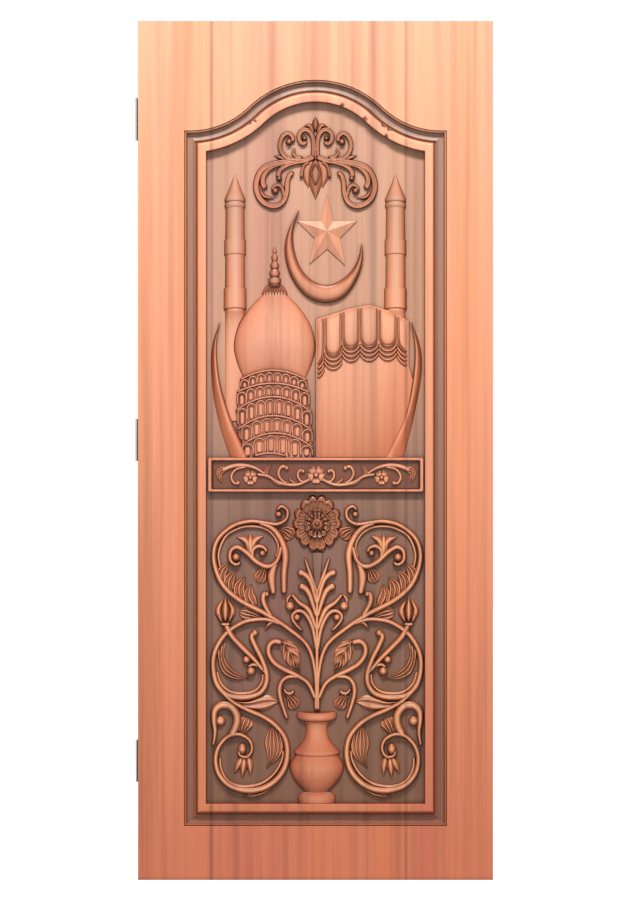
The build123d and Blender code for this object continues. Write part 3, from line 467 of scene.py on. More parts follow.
def teak(name, heights, slope_shade, corner_shade, roughness, hollow=None, reach=CORNER_REACH):
    """Oiled teak, planed and carved: upright streaks of peach and pink, fine pores, with painted shade on
    slopes and in corners.

    heights: colours from the foot of the leaf to its top; on the frame, mouldings and ground they paint
    shade, darker towards the foot as if lit from above. slope_shade: painted shade on slopes.
    corner_shade: how far painted shade darkens tight corners, within a reach. hollow: tint of a sunk field,
    and the depth it starts at.
    """
    material, tree, shader = new_material(name)
    place = node(tree, "ShaderNodeTexCoord")
    parts = node(tree, "ShaderNodeSeparateXYZ", {"Vector": place.outputs["Object"]})
    height = node(tree, "ShaderNodeMath", {0: parts.outputs["Z"], 1: LEAF_HEIGHT}, operation="DIVIDE")
    pores = streaks(tree, place, PORE)
    # Painted shade on a moulding's bead and in its hollow, and real stain in its chips, as the moulding's
    # layer marks them
    hollow_shade_and_chip_stain = node(tree, "ShaderNodeAttribute", attribute_name="hollow_shade_and_chip_stain")
    facing = node(tree, "ShaderNodeSeparateXYZ", {"Vector": place.outputs["Normal"]})
    steep = node(tree, "ShaderNodeMath", {0: facing.outputs["Y"]}, operation="ABSOLUTE")
    # Painted shade in corners
    corner = node(tree, "ShaderNodeAmbientOcclusion", {"Distance": reach}, samples=8)
    layers = [
        (streaks(tree, place, STREAK), STREAK_STOPS),
        (streaks(tree, place, BOARD), BOARD_STOPS),
        (pores, PORE_STOPS),
        (joint_distance(tree, parts), BOARD_JOINT_STOPS),
        # Painted shade in a moulding's hollows beside real stain in its chips, then painted shade on slopes
        # and in corners
        (hollow_shade_and_chip_stain.outputs["Fac"], HOLLOW_SHADE_AND_CHIP_STOPS),
        (steep.outputs[0], slope_shade),
        (corner.outputs["AO"], [(CORNER_DARK, 1.0 - corner_shade), (CORNER_CLEAR, 1.0)]),
    ]
    if hollow:
        shade, depth = hollow
        sunk = node(tree, "ShaderNodeMapRange", {"Value": parts.outputs["Y"], "From Min": depth,
                                                 "From Max": depth + HOLLOW_RUN})
        layers.append((sunk.outputs[0], [(0.0, "#FFFFFF"), (1.0, shade)]))
    tint = node(tree, "ShaderNodeValToRGB", {"Fac": height.outputs[0]}, heights).outputs["Color"]
    for source, stops in layers:
        layer = node(tree, "ShaderNodeValToRGB", {"Fac": source}, stops)
        glazed = node(tree, "ShaderNodeMix", {0: 1.0, MIX_FIRST: tint, MIX_SECOND: layer.outputs["Color"]},
                      data_type="RGBA", blend_type="MULTIPLY")
        tint = glazed.outputs[MIX_RESULT]
    tree.links.new(tint, shader.inputs["Base Color"])
    bump = node(tree, "ShaderNodeBump", {"Height": pores, "Strength": PORE_STRENGTH, "Distance": PORE_DEPTH})
    tree.links.new(bump.outputs[0], shader.inputs["Normal"])
    shader.inputs["Roughness"].default_value = roughness
    shader.inputs["Specular IOR Level"].default_value = TEAK_SPECULAR
    return material


def steel():
    """Brushed steel of the hinges: fine lines along the plate that spread the highlight."""
    material, tree, shader = new_material("brushed_steel_hinge")
    lines = streaks(tree, node(tree, "ShaderNodeTexCoord"), BRUSH)
    for socket, stops in (("Base Color", BRUSH_STOPS), ("Roughness", BRUSH_GLOSS_STOPS)):
        shade = node(tree, "ShaderNodeValToRGB", {"Fac": lines}, stops)
        tree.links.new(shade.outputs["Color"], shader.inputs[socket])
    shader.inputs["Metallic"].default_value = 1.0
    return material


# On the frame, mouldings and ground the colours by height are painted shade, darker towards the foot as if
# lit from above
frame_teak = teak("oiled_teak_frame",
                  [(0.05, "#E38A69"), (0.32, "#F19C79"), (0.66, "#F8AC89"), (0.98, "#F0B696")],
                  FRAME_SLOPE_SHADE, 0.5, 0.5)
moulding_teak = teak("oiled_teak_moulding",
                     [(0.05, "#E28B67"), (0.32, "#E39A76"), (0.66, "#F8AD8C"), (0.98, "#F2B898")],
                     PLANED_SLOPE_SHADE, 0.62, 0.45)
sunk_teak = teak("stained_teak_ground",
                 [(0.05, "#8A644E"), (0.4, "#937265"), (0.5, "#AC8776"), (0.62, "#D2A28A"), (0.9, "#CFA48E")],
                 PLANED_SLOPE_SHADE, 0.66, 0.6)
carved_teak = teak("carved_teak_scrolls",
                   [(0.05, "#FFC8A0"), (0.4, "#FFC4A0"), (0.6, "#EBAC8C"), (0.86, "#C48C70")],
                   CARVED_SLOPE_SHADE, 0.8, 0.34)
rosette_teak = teak("carved_teak_rosette", [(0.3, "#BE8460"), (0.5, "#BE8460")], CARVED_SLOPE_SHADE, 0.66, 0.28)
picture_teak = teak("carved_teak_picture",
                    [(0.06, "#DB9375"), (0.2, "#E99D7A"), (0.5, "#EEA17F"), (0.66, "#F4B99B"),
                     (0.78, "#D5AB96")],
                    PICTURE_SLOPE_SHADE, 0.68, 0.42)
tower_teak = teak("carved_teak_tower", [(0.4, "#F4B494"), (0.7, "#F4B494")], CARVED_SLOPE_SHADE, 0.78, 0.34,
                  reach=TOWER_CORNER_REACH)
star_teak = teak("carved_teak_star", [(0.6, "#E8A88A"), (0.8, "#E8A88A")], PLANED_SLOPE_SHADE, 0.5, 0.36)
band_teak = teak("carved_teak_band", [(0.3, "#FFB896"), (0.6, "#FFB896")], CARVED_SLOPE_SHADE, 0.78, 0.4,
                 ("#7E7674", GROUND_Y - 7.5 * MM))
hinge_steel = steel()

SLOT_MATERIALS = {
    "frame_teak": frame_teak,
    "moulding_teak": moulding_teak,
    "sunk_teak": sunk_teak,
    "carved_teak": picture_teak,
    "hinge_steel": hinge_steel,
}
for part in frame["record"]["subparts"]:
    solid = frame["nodes"][part["node"]]
    solid.data.materials.clear()
    solid.data.materials.append(SLOT_MATERIALS[part["material_slot"]])


# Mouldings, with their bead, cove and flat strip: shares of the width and of the depth to the ground
PROFILE_SHARES = [
    (0.0, 0.3), (0.02, 0.16), (0.06, 0.1), (0.1, 0.16), (0.125, 0.34), (0.14, 0.6), (0.17, 0.66),
    (0.23, 0.68), (0.3, 0.66), (0.37, 0.6), (0.42, 0.5), (0.45, 0.42), (0.475, 0.44), (0.49, 0.62),
    (0.53, 0.64), (0.55, 0.46), (0.58, 0.2), (0.62, 0.06), (0.66, 0.0), (0.72, 0.0), (0.8, 0.0),
    (0.88, 0.0), (0.94, 0.0), (0.97, 0.04), (0.985, 0.14), (1.0, 0.4), (1.0, 1.04), (0.0, 1.04),
]
BEAD_END = 0.15
HOLLOW_END = 0.5
# Painted shade on the bead and in the hollow, and real stain in the chips
BEAD_PAINTED_SHADE = 0.75
HOLLOW_PAINTED_SHADE = 0.5
CHIP_STAIN = 1.0

# Arched head, as in the part's own source
ARCH_RISE = 120 * MM
ARCH_SHOULDER = 14 * MM
LOWER_ARC_SHARE = 0.47
ARC_STEPS = 64
SHOULDER_Z = CROWN_Z - ARCH_RISE
ARC_START = OPENING_HALF - ARCH_SHOULDER
RADII_SUM = (ARC_START ** 2 + ARCH_RISE ** 2) / (2 * ARCH_RISE)
LOWER_RADIUS = RADII_SUM * LOWER_ARC_SHARE
UPPER_RADIUS = RADII_SUM - LOWER_RADIUS
ARC_TURN = asin(ARC_START / RADII_SUM)
OFFSET_RADIUS = LOWER_RADIUS + MOULDING_WIDTH
CORNER_RUN = MOULDING_WIDTH - ARCH_SHOULDER
HEAD_MITRE_DROP = MOULDING_WIDTH - OFFSET_RADIUS + sqrt(OFFSET_RADIUS ** 2 - CORNER_RUN ** 2)

# Chips in the head: pixels across and up, and radius
CHIP_DEPTH = 5 * MM
CHIP_SHARE = 0.85
CHIPS_PX = [
    (342, 106, 2.6), (365, 119.5, 3.2), (384, 125.5, 3.4), (389.5, 129.5, 3.0), (386, 137, 2.4),
    (249.5, 122.5, 2.8), (254.5, 121.5, 2.2),
]


def run_moulding(stations, cuts, name, solid):
    """Length of moulding through stations (place and inward direction), cut by mitre planes."""
    bm = bmesh.new()
    hollow_shade_and_chip_stain = bm.verts.layers.float.new("hollow_shade_and_chip_stain")
    along = len(stations) - 1
    across = len(PROFILE_SHARES)
    made = bmesh.ops.create_grid(bm, x_segments=along, y_segments=across, size=1.0)
    for vert in made["verts"]:
        place, inward = stations[round((vert.co.x + 1) / 2 * along)]
        share, deep = PROFILE_SHARES[round((vert.co.y + 1) / 2 * across) % across]
        at = place + inward * (share * MOULDING_WIDTH)
        vert.co = (at.x, FRONT_Y + deep * (GROUND_Y - FRONT_Y), at.y)
        # Painted shade on the bead and in the hollow, none on the flat strip
        vert[hollow_shade_and_chip_stain] = BEAD_PAINTED_SHADE if share < BEAD_END else HOLLOW_PAINTED_SHADE if share < HOLLOW_END else 0.0
    bmesh.ops.remove_doubles(bm, verts=bm.verts, dist=MERGE_DISTANCE)
    for corner, away in cuts:
        geometry = [*bm.verts, *bm.edges, *bm.faces]
        bmesh.ops.bisect_plane(bm, geom=geometry, plane_co=(corner.x, 0, corner.y),
                               plane_no=(away.x, 0, away.y), clear_outer=True)
    bmesh.ops.holes_fill(bm, edges=[edge for edge in bm.edges if edge.is_boundary])
    for across_px, up_px, radius in CHIPS_PX:
        centre = spot((across_px, up_px))
        reach = CHIP_SHARE * radius * ACROSS_SCALE
        for vert in bm.verts:
            away = (Vector((vert.co.x, vert.co.z)) - centre).length
            if away < reach and vert.co.y < FRONT_Y + CHIP_DEPTH:
                vert.co.y += CHIP_DEPTH * (1 - away / reach)
                vert[hollow_shade_and_chip_stain] = CHIP_STAIN
    smooth_by_angle(add_piece(bm, name, moulding_teak, solid))


def arch_stations():
    """Places and inward directions along the ogee arch, from left to right."""
    lower = []
    upper = []
    for step in range(ARC_STEPS + 1):
        turn = ARC_TURN * step / ARC_STEPS
        out = sin(turn)
        drop = 1 - cos(turn)
        inward = Vector((out, -cos(turn)))
        lower.append((Vector((-ARC_START + LOWER_RADIUS * out, SHOULDER_Z + LOWER_RADIUS * drop)), inward))
        upper.append((Vector((-UPPER_RADIUS * out, CROWN_Z - UPPER_RADIUS * drop)), inward))
    start = (Vector((-OPENING_HALF - MOULDING_WIDTH, SHOULDER_Z)), Vector((0, -1)))
    left = [start, *lower, *reversed(upper[:-1])]
    right = [(Vector((-at.x, at.y)), Vector((-inward.x, inward.y))) for at, inward in reversed(left[:-1])]
    return [*left, *right]


def make_mouldings():
    """Four mitred lengths round the opening."""
    foot_cuts = {}
    head_cuts = {}
    for side in (-1, 1):
        foot_cuts[side] = (Vector((side * OPENING_HALF, FOOT_Z)), Vector((side, 1)))
        mitre = Vector((-side * HEAD_MITRE_DROP, MOULDING_WIDTH))
        head_cuts[side] = (Vector((side * OPENING_HALF, SHOULDER_Z)), mitre)
    for side, name in ((-1, "left"), (1, "right")):
        inward = Vector((-side, 0))
        stations = [(Vector((side * OPENING_HALF, up)), inward) for up in (0.0, LEAF_HEIGHT)]
        foot, away = foot_cuts[side]
        run_moulding(stations, [(foot, -away), head_cuts[side]], f"{name}_moulding_run", f"{name}_moulding")
    stations = [(Vector((side * OPENING_HALF, FOOT_Z)), Vector((0, 1))) for side in (-1, 1)]
    run_moulding(stations, list(foot_cuts.values()), "foot_moulding_run", "foot_moulding")
    cuts = [(corner, -away) for corner, away in head_cuts.values()]
    run_moulding(arch_stations(), cuts, "head_moulding_run", "head_moulding")


make_mouldings()

# Crest under the arch, left half
CREST_STEMS_PX = [
    ([(313.6, 158), (313.5, 141), (310.5, 132.8), (305, 129.6), (299.6, 133.5), (299.4, 140),
      (303, 143.8), (307, 140.6)], (4.4, 4.4, 4.2)),
    ([(303, 160), (288, 158.5), (281.4, 151.8), (280, 143.5), (283, 136), (288.3, 133.3), (292.8, 137.4),
      (292.4, 143)], (3.6, 4.2, 4)),
    ([(315, 156.4), (303, 161), (288, 161.8), (272, 164.4), (261.5, 170.5), (256.4, 182.5), (257.6, 194),
      (263.4, 202.4), (273.8, 206.4), (282.6, 202.4), (286.6, 193), (287.4, 182), (290, 174.4),
      (294.5, 172.6)], (5, 5.6, 4.4)),
    ([(284.6, 198.5), (282, 188), (277.4, 184.8), (273.2, 187.6), (272.8, 192)], (3, 3.4, 3)),
    ([(285, 163.4), (272.4, 167), (264.5, 174.6), (262.8, 183), (266, 189.6)], (3, 4.4, 5.4)),
    ([(300, 161.8), (288, 165), (279.8, 170.6), (278.2, 178.6)], (3.4, 4, 5)),
    ([(303.4, 157.6), (296.4, 156.8), (293, 152.4), (295.3, 148)], (3, 3.2, 2)),
    ([(310.4, 161.5), (303.6, 166), (300.8, 178.6)], (2.4, 2.8, 2.8)),
]
CREST_DROP_PX = [(315.5, 163.4), (311.2, 170.4), (312.2, 176.6), (315.5, 185.4)]
CREST_BLADES_PX = [
    ([(288, 160.5), (280, 157.4), (274, 155.6)], 6, 5.5),
    ([(259.4, 189), (264.5, 196.6), (274.4, 198.6)], 5.4, 6),
    ([(314, 134), (309.6, 126), (303.6, 126.4)], 6.4, 6),
    ([(313, 159), (306.8, 172), (308.4, 188)], 12, 5.4),
]
CREST_KNOBS_PX = [((304.6, 138.4), 2.8), ((289, 142), 3.6), ((275.4, 191), 3.6), ((279.2, 178.6), 3)]
CREST_MIDDLE_PX = [
    ([(315.5, 131), (315.5, 124), (315.5, 116.6)], 8, 7),
    ([(315.5, 161), (315.5, 153), (315.5, 143)], 6.4, 8),
    ([(315.5, 158.6), (315.5, 174), (315.5, 199.4)], 16, 6.2),
]
CREST_RELIEF = 8.5 * MM
CREST_KNOB_RELIEF = CREST_RELIEF + 1.5 * MM
CREST_SWELL = 1.2
CREST_SCOOP = 0.32
CREST_DROP_WIDTHS = (1.7, 1.7, 1.7)
CREST_DROP_RELIEF = 4.6 * MM
CREST_DROP_BASE = 4.2 * MM


def make_crest():
    """Scrolled crest with a hanging bud."""
    bm = bmesh.new()
    for side in (1, -1):
        for pixels, widths in CREST_STEMS_PX:
            wide = [width * CREST_SWELL for width in widths]
            stem(bm, turned(pixels, FIELD_CENTRE_PX, side), wide, CREST_RELIEF, across=12, scoop=CREST_SCOOP)
        drop = turned(CREST_DROP_PX, FIELD_CENTRE_PX, side)
        stem(bm, drop, CREST_DROP_WIDTHS, CREST_DROP_RELIEF, CREST_DROP_BASE)
        for spine, width, relief in CREST_BLADES_PX:
            blade(bm, turned(spine, FIELD_CENTRE_PX, side), width, relief * MM)
        for centre, radius in CREST_KNOBS_PX:
            knob(bm, turned([centre], FIELD_CENTRE_PX, side)[0], radius, CREST_KNOB_RELIEF)
    for spine, width, relief in CREST_MIDDLE_PX:
        blade(bm, spine, width, relief * MM)
    add_piece(bm, "crest_carving", carved_teak, "crest")


make_crest()

# Scrollwork of the lower panel, left half: stems with widths and relief in mm
SCROLL_STEMS_PX = [
    ([(316, 711.2), (315.5, 676), (308.3, 647.5), (289, 629.5), (266, 614.5), (239.5, 600.5), (222, 584),
      (213.6, 560), (217.4, 540.5), (232, 526.8), (249, 521.8), (264, 523), (277, 524.5), (286, 519.4),
      (287.4, 511), (281.5, 506.6), (276.4, 511)], (3.6, 5.4, 3.4), 9.5),
    ([(258, 522.4), (272, 528.5), (281, 540), (285.3, 555), (284, 574), (284, 595)], (4.4, 6.6, 5), 9),
    ([(281.5, 546), (277, 561), (268, 567), (257, 562.5), (246, 552.5), (237, 547.5), (230.6, 551.5),
      (230.4, 560.5), (236, 565), (241, 562)], (4, 5.2, 3.4), 9),
    ([(277.4, 559), (271.6, 576), (273.6, 595.5)], (4, 7.4, 4.6), 8),
    ([(252.6, 561), (252.6, 551), (258, 546.6), (264.6, 548.4), (266.6, 553.6)], (4, 4.2, 3.4), 8.5),
    ([(220.4, 569), (218.6, 554), (225, 537.4), (237.4, 529), (250, 526.4), (263.6, 528.4),
      (273.4, 535.6), (278.4, 547), (275.6, 559)], (2.4, 3.4, 2.4), 5.4),
    ([(225.3, 624), (231.8, 636.6), (243.3, 649), (254.7, 660.4), (264, 672)], (5.6, 5.4, 4), 10),
    ([(281, 624.5), (270, 620.5), (258.6, 619.8), (243, 622.8), (226, 634), (215.6, 650), (212.9, 666),
      (216.6, 684), (227, 695.4), (243.5, 698), (258.5, 694.2), (265.5, 685.5), (266.5, 674), (262, 660),
      (255.5, 647), (251.6, 637), (255.4, 632.6)], (4, 5.4, 5), 9),
    ([(216.8, 671), (221, 683.8), (230.7, 692.2), (243, 694), (255, 691), (262, 682.6), (262.8, 673)],
      (2.4, 3.4, 2.4), 5.4),
    ([(267, 675), (260, 667), (252.4, 665), (247.6, 668.4)], (3.6, 4, 3), 8.5),
    ([(315.8, 700), (308.3, 684), (296.8, 675.9), (285.4, 670.5), (275, 664), (269, 655), (269, 646.5),
      (274, 642), (283, 643.4)], (4, 5, 5), 9),
    ([(301, 677), (288, 677.4), (281.5, 682.5), (279.4, 691), (281.4, 702), (287.4, 720)],
      (3.6, 4.6, 3.4), 8.5),
    ([(283.4, 688), (286, 692.6), (290.2, 694), (295, 690.4)], (2.2, 3.6, 3), 8),
    ([(218, 688), (231.8, 701.5), (247, 710), (262.4, 716.8), (275, 725.3), (284.4, 737.5), (287.4, 752),
      (284.6, 768), (275.4, 781), (262, 789), (246, 791), (229.4, 786), (218.6, 774), (215.6, 759),
      (219.4, 746), (229, 736.4), (240, 735), (249.3, 740.4), (252, 749.5), (247.5, 757), (240.4, 756),
      (238, 750.6)], (4, 6, 3), 9.5),
    ([(220, 757), (221, 769), (227.4, 780.6), (238.4, 786.2), (251, 786.6), (264, 782.4), (275, 773),
      (281.6, 761), (283.4, 750)], (2.4, 3.4, 2.4), 5.4),
    ([(230.4, 738), (236, 726), (236.6, 715.5), (230.5, 707), (221.4, 705.6), (214.8, 711), (213.8, 721),
      (215, 733), (213, 747)], (7, 7.4, 2.6), 10),
    ([(272, 618), (264.4, 605), (263.4, 596), (267.6, 593)], (4, 5, 5.4), 8.5),
    ([(317, 594), (311, 577), (304.6, 557.6)], (3.4, 4.2, 2), 7.5),
    ([(317, 605), (311, 583), (304.6, 574.8), (297, 572.4)], (4, 5, 6), 9),
    ([(317, 618), (310, 596), (305, 588.6), (298, 586)], (4, 5.2, 6.4), 9),
    ([(317, 631), (309, 611), (299, 603), (291.4, 594)], (4, 5.4, 3), 8.5),
    ([(317, 652), (312.6, 628), (305, 613.8), (296.8, 611.6), (292, 617.5), (296.6, 625.6), (303, 631.6)],
      (4, 4.6, 2.6), 8.5),
    ([(317, 700), (316.8, 660), (316.8, 620), (316.8, 588)], (4, 3.6, 3), 9),
    ([(220, 624), (225.3, 625), (230.8, 624)], (3.4, 3.8, 3.4), 10),
    ([(281, 640), (289.6, 652), (299.6, 670.4)], (1.6, 1.6, 1.2), 9.4),
]
# Spine, width, relief in mm, ribs, and whether the leaf is a fan
SCROLL_BLADES_PX = [
    ([(221.5, 586), (221, 574), (228.6, 563)], 13.4, 8, 3, False),
    ([(229.5, 593.5), (229, 581), (236.4, 570.4)], 14, 8, 3, False),
    ([(241, 600.6), (239, 588), (245.4, 577)], 14.4, 8, 3, False),
    ([(255.4, 608.5), (249, 596), (251.4, 584.4)], 15, 8, 3, False),
    ([(251, 557), (250.4, 546), (250.2, 533)], 11, 8.5, 1, False),
    ([(249, 555.6), (247.4, 543), (236.4, 536.6)], 9, 7, 1, False),
    ([(251.6, 553), (254, 542), (263.6, 536)], 9, 7, 1, False),
    ([(278, 529), (285.6, 531.4), (293.4, 537.4)], 16.5, 7.5, 4, True),
    ([(266, 565), (262.6, 572), (258, 582.6)], 15.5, 7, 4, True),
    ([(264, 619.4), (252, 614.6), (239, 611.6)], 15, 7, 4, True),
    ([(279, 622), (270.6, 623), (264.6, 630)], 6.6, 7.5, 1, False),
    ([(225.3, 622.6), (225.3, 610), (225.3, 597)], 9, 9, 1, False),
    ([(222.4, 622.6), (218, 611), (223.4, 599)], 7.6, 7, 1, False),
    ([(228.2, 622.6), (232.6, 611), (227.2, 599)], 7.6, 7, 1, False),
    ([(222.6, 623), (219.4, 616.6), (219.8, 609)], 5, 9, 1, False),
    ([(228, 623), (231.2, 616.6), (230.8, 609)], 5, 9, 1, False),
    ([(285, 694), (290.6, 699), (296.6, 709)], 15.5, 7.5, 4, True),
    ([(240.6, 736.6), (243.6, 728), (248.6, 718)], 17.5, 7.5, 4, True),
    ([(243, 755), (239, 764), (234, 773.6)], 8.6, 7, 1, False),
    ([(244.6, 755), (243.4, 767), (242, 778.4)], 8.6, 7.6, 1, False),
    ([(246.6, 754), (249.6, 764), (250.6, 776.4)], 8.4, 7, 1, False),
    ([(272, 787.6), (258, 793.6), (242, 797.4)], 7, 7, 2, False),
    ([(291.6, 594), (287.4, 600), (288.4, 607)], 5, 5, 1, False),
]
# Two edges, relief in mm, ribs and their slant
SCROLL_LEAVES_PX = [
    ([(216, 652), (218.8, 666.5), (224, 675.7), (235.6, 680.3), (249, 678.7)], [(227, 641.6),
      (224.6, 654), (229, 665), (238, 673), (249, 678.7)], 7.5, 3, 0.0),
    ([(229, 701), (247, 701), (261, 695.4), (271, 696), (279.4, 701.6)], [(229, 701), (243, 708),
      (258.6, 711.8), (270, 709), (279.4, 701.6)], 7.5, 2, 0.0),
    ([(272, 722), (266, 734), (263.6, 744), (266.6, 756), (266.4, 769)], [(272, 722), (281, 735),
      (284.4, 748), (279, 759), (266.4, 769)], 6.5, 5, 0.0),
    ([(281, 639.4), (290.6, 641.4), (299.4, 651), (300.4, 672)], [(281, 639.4), (280.4, 650),
      (285.6, 663), (300.4, 672)], 8, 4, 1.2),
]
# Centre, radius and relief in mm
SCROLL_KNOBS_PX = [
    ((278.6, 514.6), 3.6, 9), ((236, 557.6), 4.6, 10.5), ((262.4, 553.6), 3.6, 9),
    ((250.9, 671.6), 5, 10.5), ((246.4, 660), 4.4, 8.5), ((254.8, 633.4), 4, 9.5),
    ((297, 617.8), 4.2, 9.5), ((290, 606.6), 5, 8.5), ((266.6, 594.6), 3.4, 9.5),
    ((220.4, 721.4), 5.4, 8),
]
SCROLL_SWELL = 1.28
SCROLL_EYE_PX = (242.2, 749.4)
SCROLL_EYE_RADIUS_PX = 4.8
SCROLL_EYE_RELIEF = 10 * MM
SCROLL_EYE_TALL = 1.3
STALK_PX = [(312.4, 553), (322.2, 553), (319.4, 590), (315, 590)]
STALK_RELIEF = 5 * MM
STALK_SOFT = 1.5 * MM


def make_scrollwork():
    """Scrolls, leaves and the middle spray."""
    bm = bmesh.new()
    for side in (1, -1):
        for pixels, widths, relief in SCROLL_STEMS_PX:
            wide = [width * SCROLL_SWELL for width in widths]
            stem(bm, turned(pixels, LOWER_AXIS_PX, side), wide, relief * MM, across=10)
        for spine, width, relief, ribs, fan in SCROLL_BLADES_PX:
            blade(bm, turned(spine, LOWER_AXIS_PX, side), width, relief * MM, ribs, fan)
        for left, right, relief, ribs, slant in SCROLL_LEAVES_PX:
            edges = [turned(edge, LOWER_AXIS_PX, side) for edge in (left, right)]
            leaf(bm, edges, relief * MM, ribs, slant)
        for centre, radius, relief in SCROLL_KNOBS_PX:
            knob(bm, turned([centre], LOWER_AXIS_PX, side)[0], radius, relief * MM)
        eye = turned([SCROLL_EYE_PX], LOWER_AXIS_PX, side)[0]
        knob(bm, eye, SCROLL_EYE_RADIUS_PX, SCROLL_EYE_RELIEF, tall=SCROLL_EYE_TALL)
    add_piece(bm, "scroll_carving", carved_teak, "scrollwork")
    stalk = bmesh.new()
    plate(stalk, STALK_PX, STALK_RELIEF, STALK_SOFT)
    add_piece(stalk, "rosette_stalk", sunk_teak)


make_scrollwork()

# Rosette: each ring's share of the reach, half angle of a petal, relief, veins, and where its petals point
ROSETTE_PX = (317.2, 523.9)
ROSETTE_SPREAD_PX = (24.0, 28.0)
ROSETTE_RINGS = [
    (1.06, 27, 10 * MM, 6, [25, 78, 128, 180, 232, 282, 335]),
    (0.6, 26.5, 12.4 * MM, 2, [360 * step / 7 for step in range(7)]),
]
# Radius in pixels, and relief
ROSETTE_BOSS = (8.6, 9.4 * MM)
ROSETTE_BEAD = (1.7, 11.6 * MM)
ROSETTE_EYE = (3.6, 13.8 * MM)
ROSETTE_BEADS = 10
ROSETTE_BEAD_SHARE = 0.26


def make_rosette():
    """Seven veined petals, an inner ring of petals, beads and a boss."""
    bm = bmesh.new()
    for share, half_angle, relief, veins, angles in ROSETTE_RINGS:
        reach = [share * spread for spread in ROSETTE_SPREAD_PX]
        for angle in angles:
            petal(bm, ROSETTE_PX, angle, reach, half_angle, relief, veins=veins)
    knob(bm, ROSETTE_PX, *ROSETTE_BOSS)
    for step in range(ROSETTE_BEADS):
        turn = 2 * pi * step / ROSETTE_BEADS
        across = ROSETTE_PX[0] + ROSETTE_SPREAD_PX[0] * ROSETTE_BEAD_SHARE * sin(turn)
        up = ROSETTE_PX[1] - ROSETTE_SPREAD_PX[1] * ROSETTE_BEAD_SHARE * cos(turn)
        knob(bm, (across, up), *ROSETTE_BEAD)
    knob(bm, ROSETTE_PX, *ROSETTE_EYE)
    add_piece(bm, "rosette_carving", rosette_teak, "rosette")


make_rosette()

# Cross band carving, left half
BAND_STEMS_PX = [
    ([(311, 479), (299, 484.5), (288, 485), (277, 482), (268, 476.5), (256, 474.5)], (2.6, 3.2, 2.4)),
    ([(266, 475), (256, 468.6), (244, 465.6), (232, 466.6), (221, 471)], (2.4, 3.2, 4)),
    ([(289, 484.6), (282, 480.6), (278.4, 474), (281, 467.4), (287, 467)], (2, 2.8, 3)),
    ([(309, 480.6), (302, 482), (298, 477), (299, 471.4), (303.6, 470.4)], (2, 2.6, 2.6)),
    ([(247, 467), (236.5, 469.4), (231.4, 476), (233.4, 482.6), (238.6, 484.4)], (2, 2.6, 2.6)),
]
BAND_BLADES_PX = [
    ([(267, 478), (266.4, 471), (272, 465.4)], 5.4, 2),
    ([(270, 478), (278, 483.4), (290, 485)], 4.4, 2),
    ([(228, 468), (219.4, 472.6), (221.6, 484)], 8, 3),
    ([(297, 484), (291, 481), (288.4, 476.6)], 3.6, 1),
]
BAND_KNOBS_PX = [((286.6, 468.4), 2.6), ((303, 471.6), 2.4), ((238, 483.4), 2.6)]
BAND_FLOWERS_PX = [((316, 475.3), 9.4), ((250.3, 477.9), 7.8), ((381.7, 477.9), 7.8)]
BAND_PETALS = 5
BAND_PETAL_SWEEP = 178
BAND_EYE_SHARE = 0.34
BAND_BASE = 5 * MM
BAND_RELIEF = 4.6 * MM
BAND_EYE_RELIEF = BAND_RELIEF + 1.4 * MM
BAND_SWELL = 1.4
BAND_SOFT = 3.9 * MM
BAND_SOFT_ANGLE = 40
WELD_DISTANCE = 0.01 * MM


def make_band_carving():
    """Vine with three flowers on the cross band."""
    bm = bmesh.new()
    for side in (1, -1):
        for pixels, widths in BAND_STEMS_PX:
            wide = [width * BAND_SWELL for width in widths]
            stem(bm, turned(pixels, BAND_AXIS_PX, side), wide, BAND_RELIEF, BAND_BASE)
        for spine, width, ribs in BAND_BLADES_PX:
            blade(bm, turned(spine, BAND_AXIS_PX, side), width, BAND_RELIEF, ribs, base=BAND_BASE)
        for centre, radius in BAND_KNOBS_PX:
            knob(bm, turned([centre], BAND_AXIS_PX, side)[0], radius, BAND_RELIEF, BAND_BASE)
    for centre, radius in BAND_FLOWERS_PX:
        for step in range(BAND_PETALS):
            angle = 360 * (step + 0.5) / BAND_PETALS
            half_angle = BAND_PETAL_SWEEP / BAND_PETALS
            petal(bm, centre, angle, (radius, radius), half_angle, BAND_RELIEF, BAND_BASE, 1)
        knob(bm, centre, radius * BAND_EYE_SHARE, BAND_EYE_RELIEF, BAND_BASE)
    add_piece(bm, "band_flowers", carved_teak, "band_carving")


def dress_band():
    """Round the arrises of the cross band, which is shown as the solid it is."""
    band = frame["nodes"]["cross_band"]
    weld = band.modifiers.new("weld", "WELD")
    weld.merge_threshold = WELD_DISTANCE
    bevel = band.modifiers.new("bevel", "BEVEL")
    bevel.width = BAND_SOFT
    bevel.segments = 3
    bevel.limit_method = "ANGLE"
    bevel.angle_limit = radians(BAND_SOFT_ANGLE)
    band.data.materials[0] = band_teak


make_band_carving()
dress_band()
frame["nodes"]["star"].data.materials[0] = star_teak

# Turned vase
VASE_AXIS_PX = 316.8
VASE_PX = [
    [(299.6, 711.5), (296.8, 713), (296.4, 717), (298.6, 719.4)],
    [(298.6, 719.4), (303.8, 721)],
    [(303.8, 721), (306, 729.5), (303.4, 740), (296, 748.6)],
    [(296, 748.6), (294.4, 750)],
    [(294.4, 750), (293.6, 752.4), (295.4, 754.8)],
    [(295.4, 754.8), (289.6, 764.4), (291.4, 774.6), (297.6, 784), (305, 791.4)],
    [(305, 791.4), (299.6, 793.4)],
    [(299.6, 793.4), (297.6, 796.6), (298, 802.4)],
]
VASE_RELIEF = 13.6 * MM
VASE_SAG_PX = 3.4
VASE_ARRIS = 16


def make_vase():
    """Turned vase."""
    bm = bmesh.new()
    turning(bm, VASE_AXIS_PX, silhouette_of(VASE_PX), VASE_RELIEF, sag=VASE_SAG_PX)
    smooth_by_angle(add_piece(bm, "turned_vase", picture_teak, "vase"), VASE_ARRIS)


make_vase()

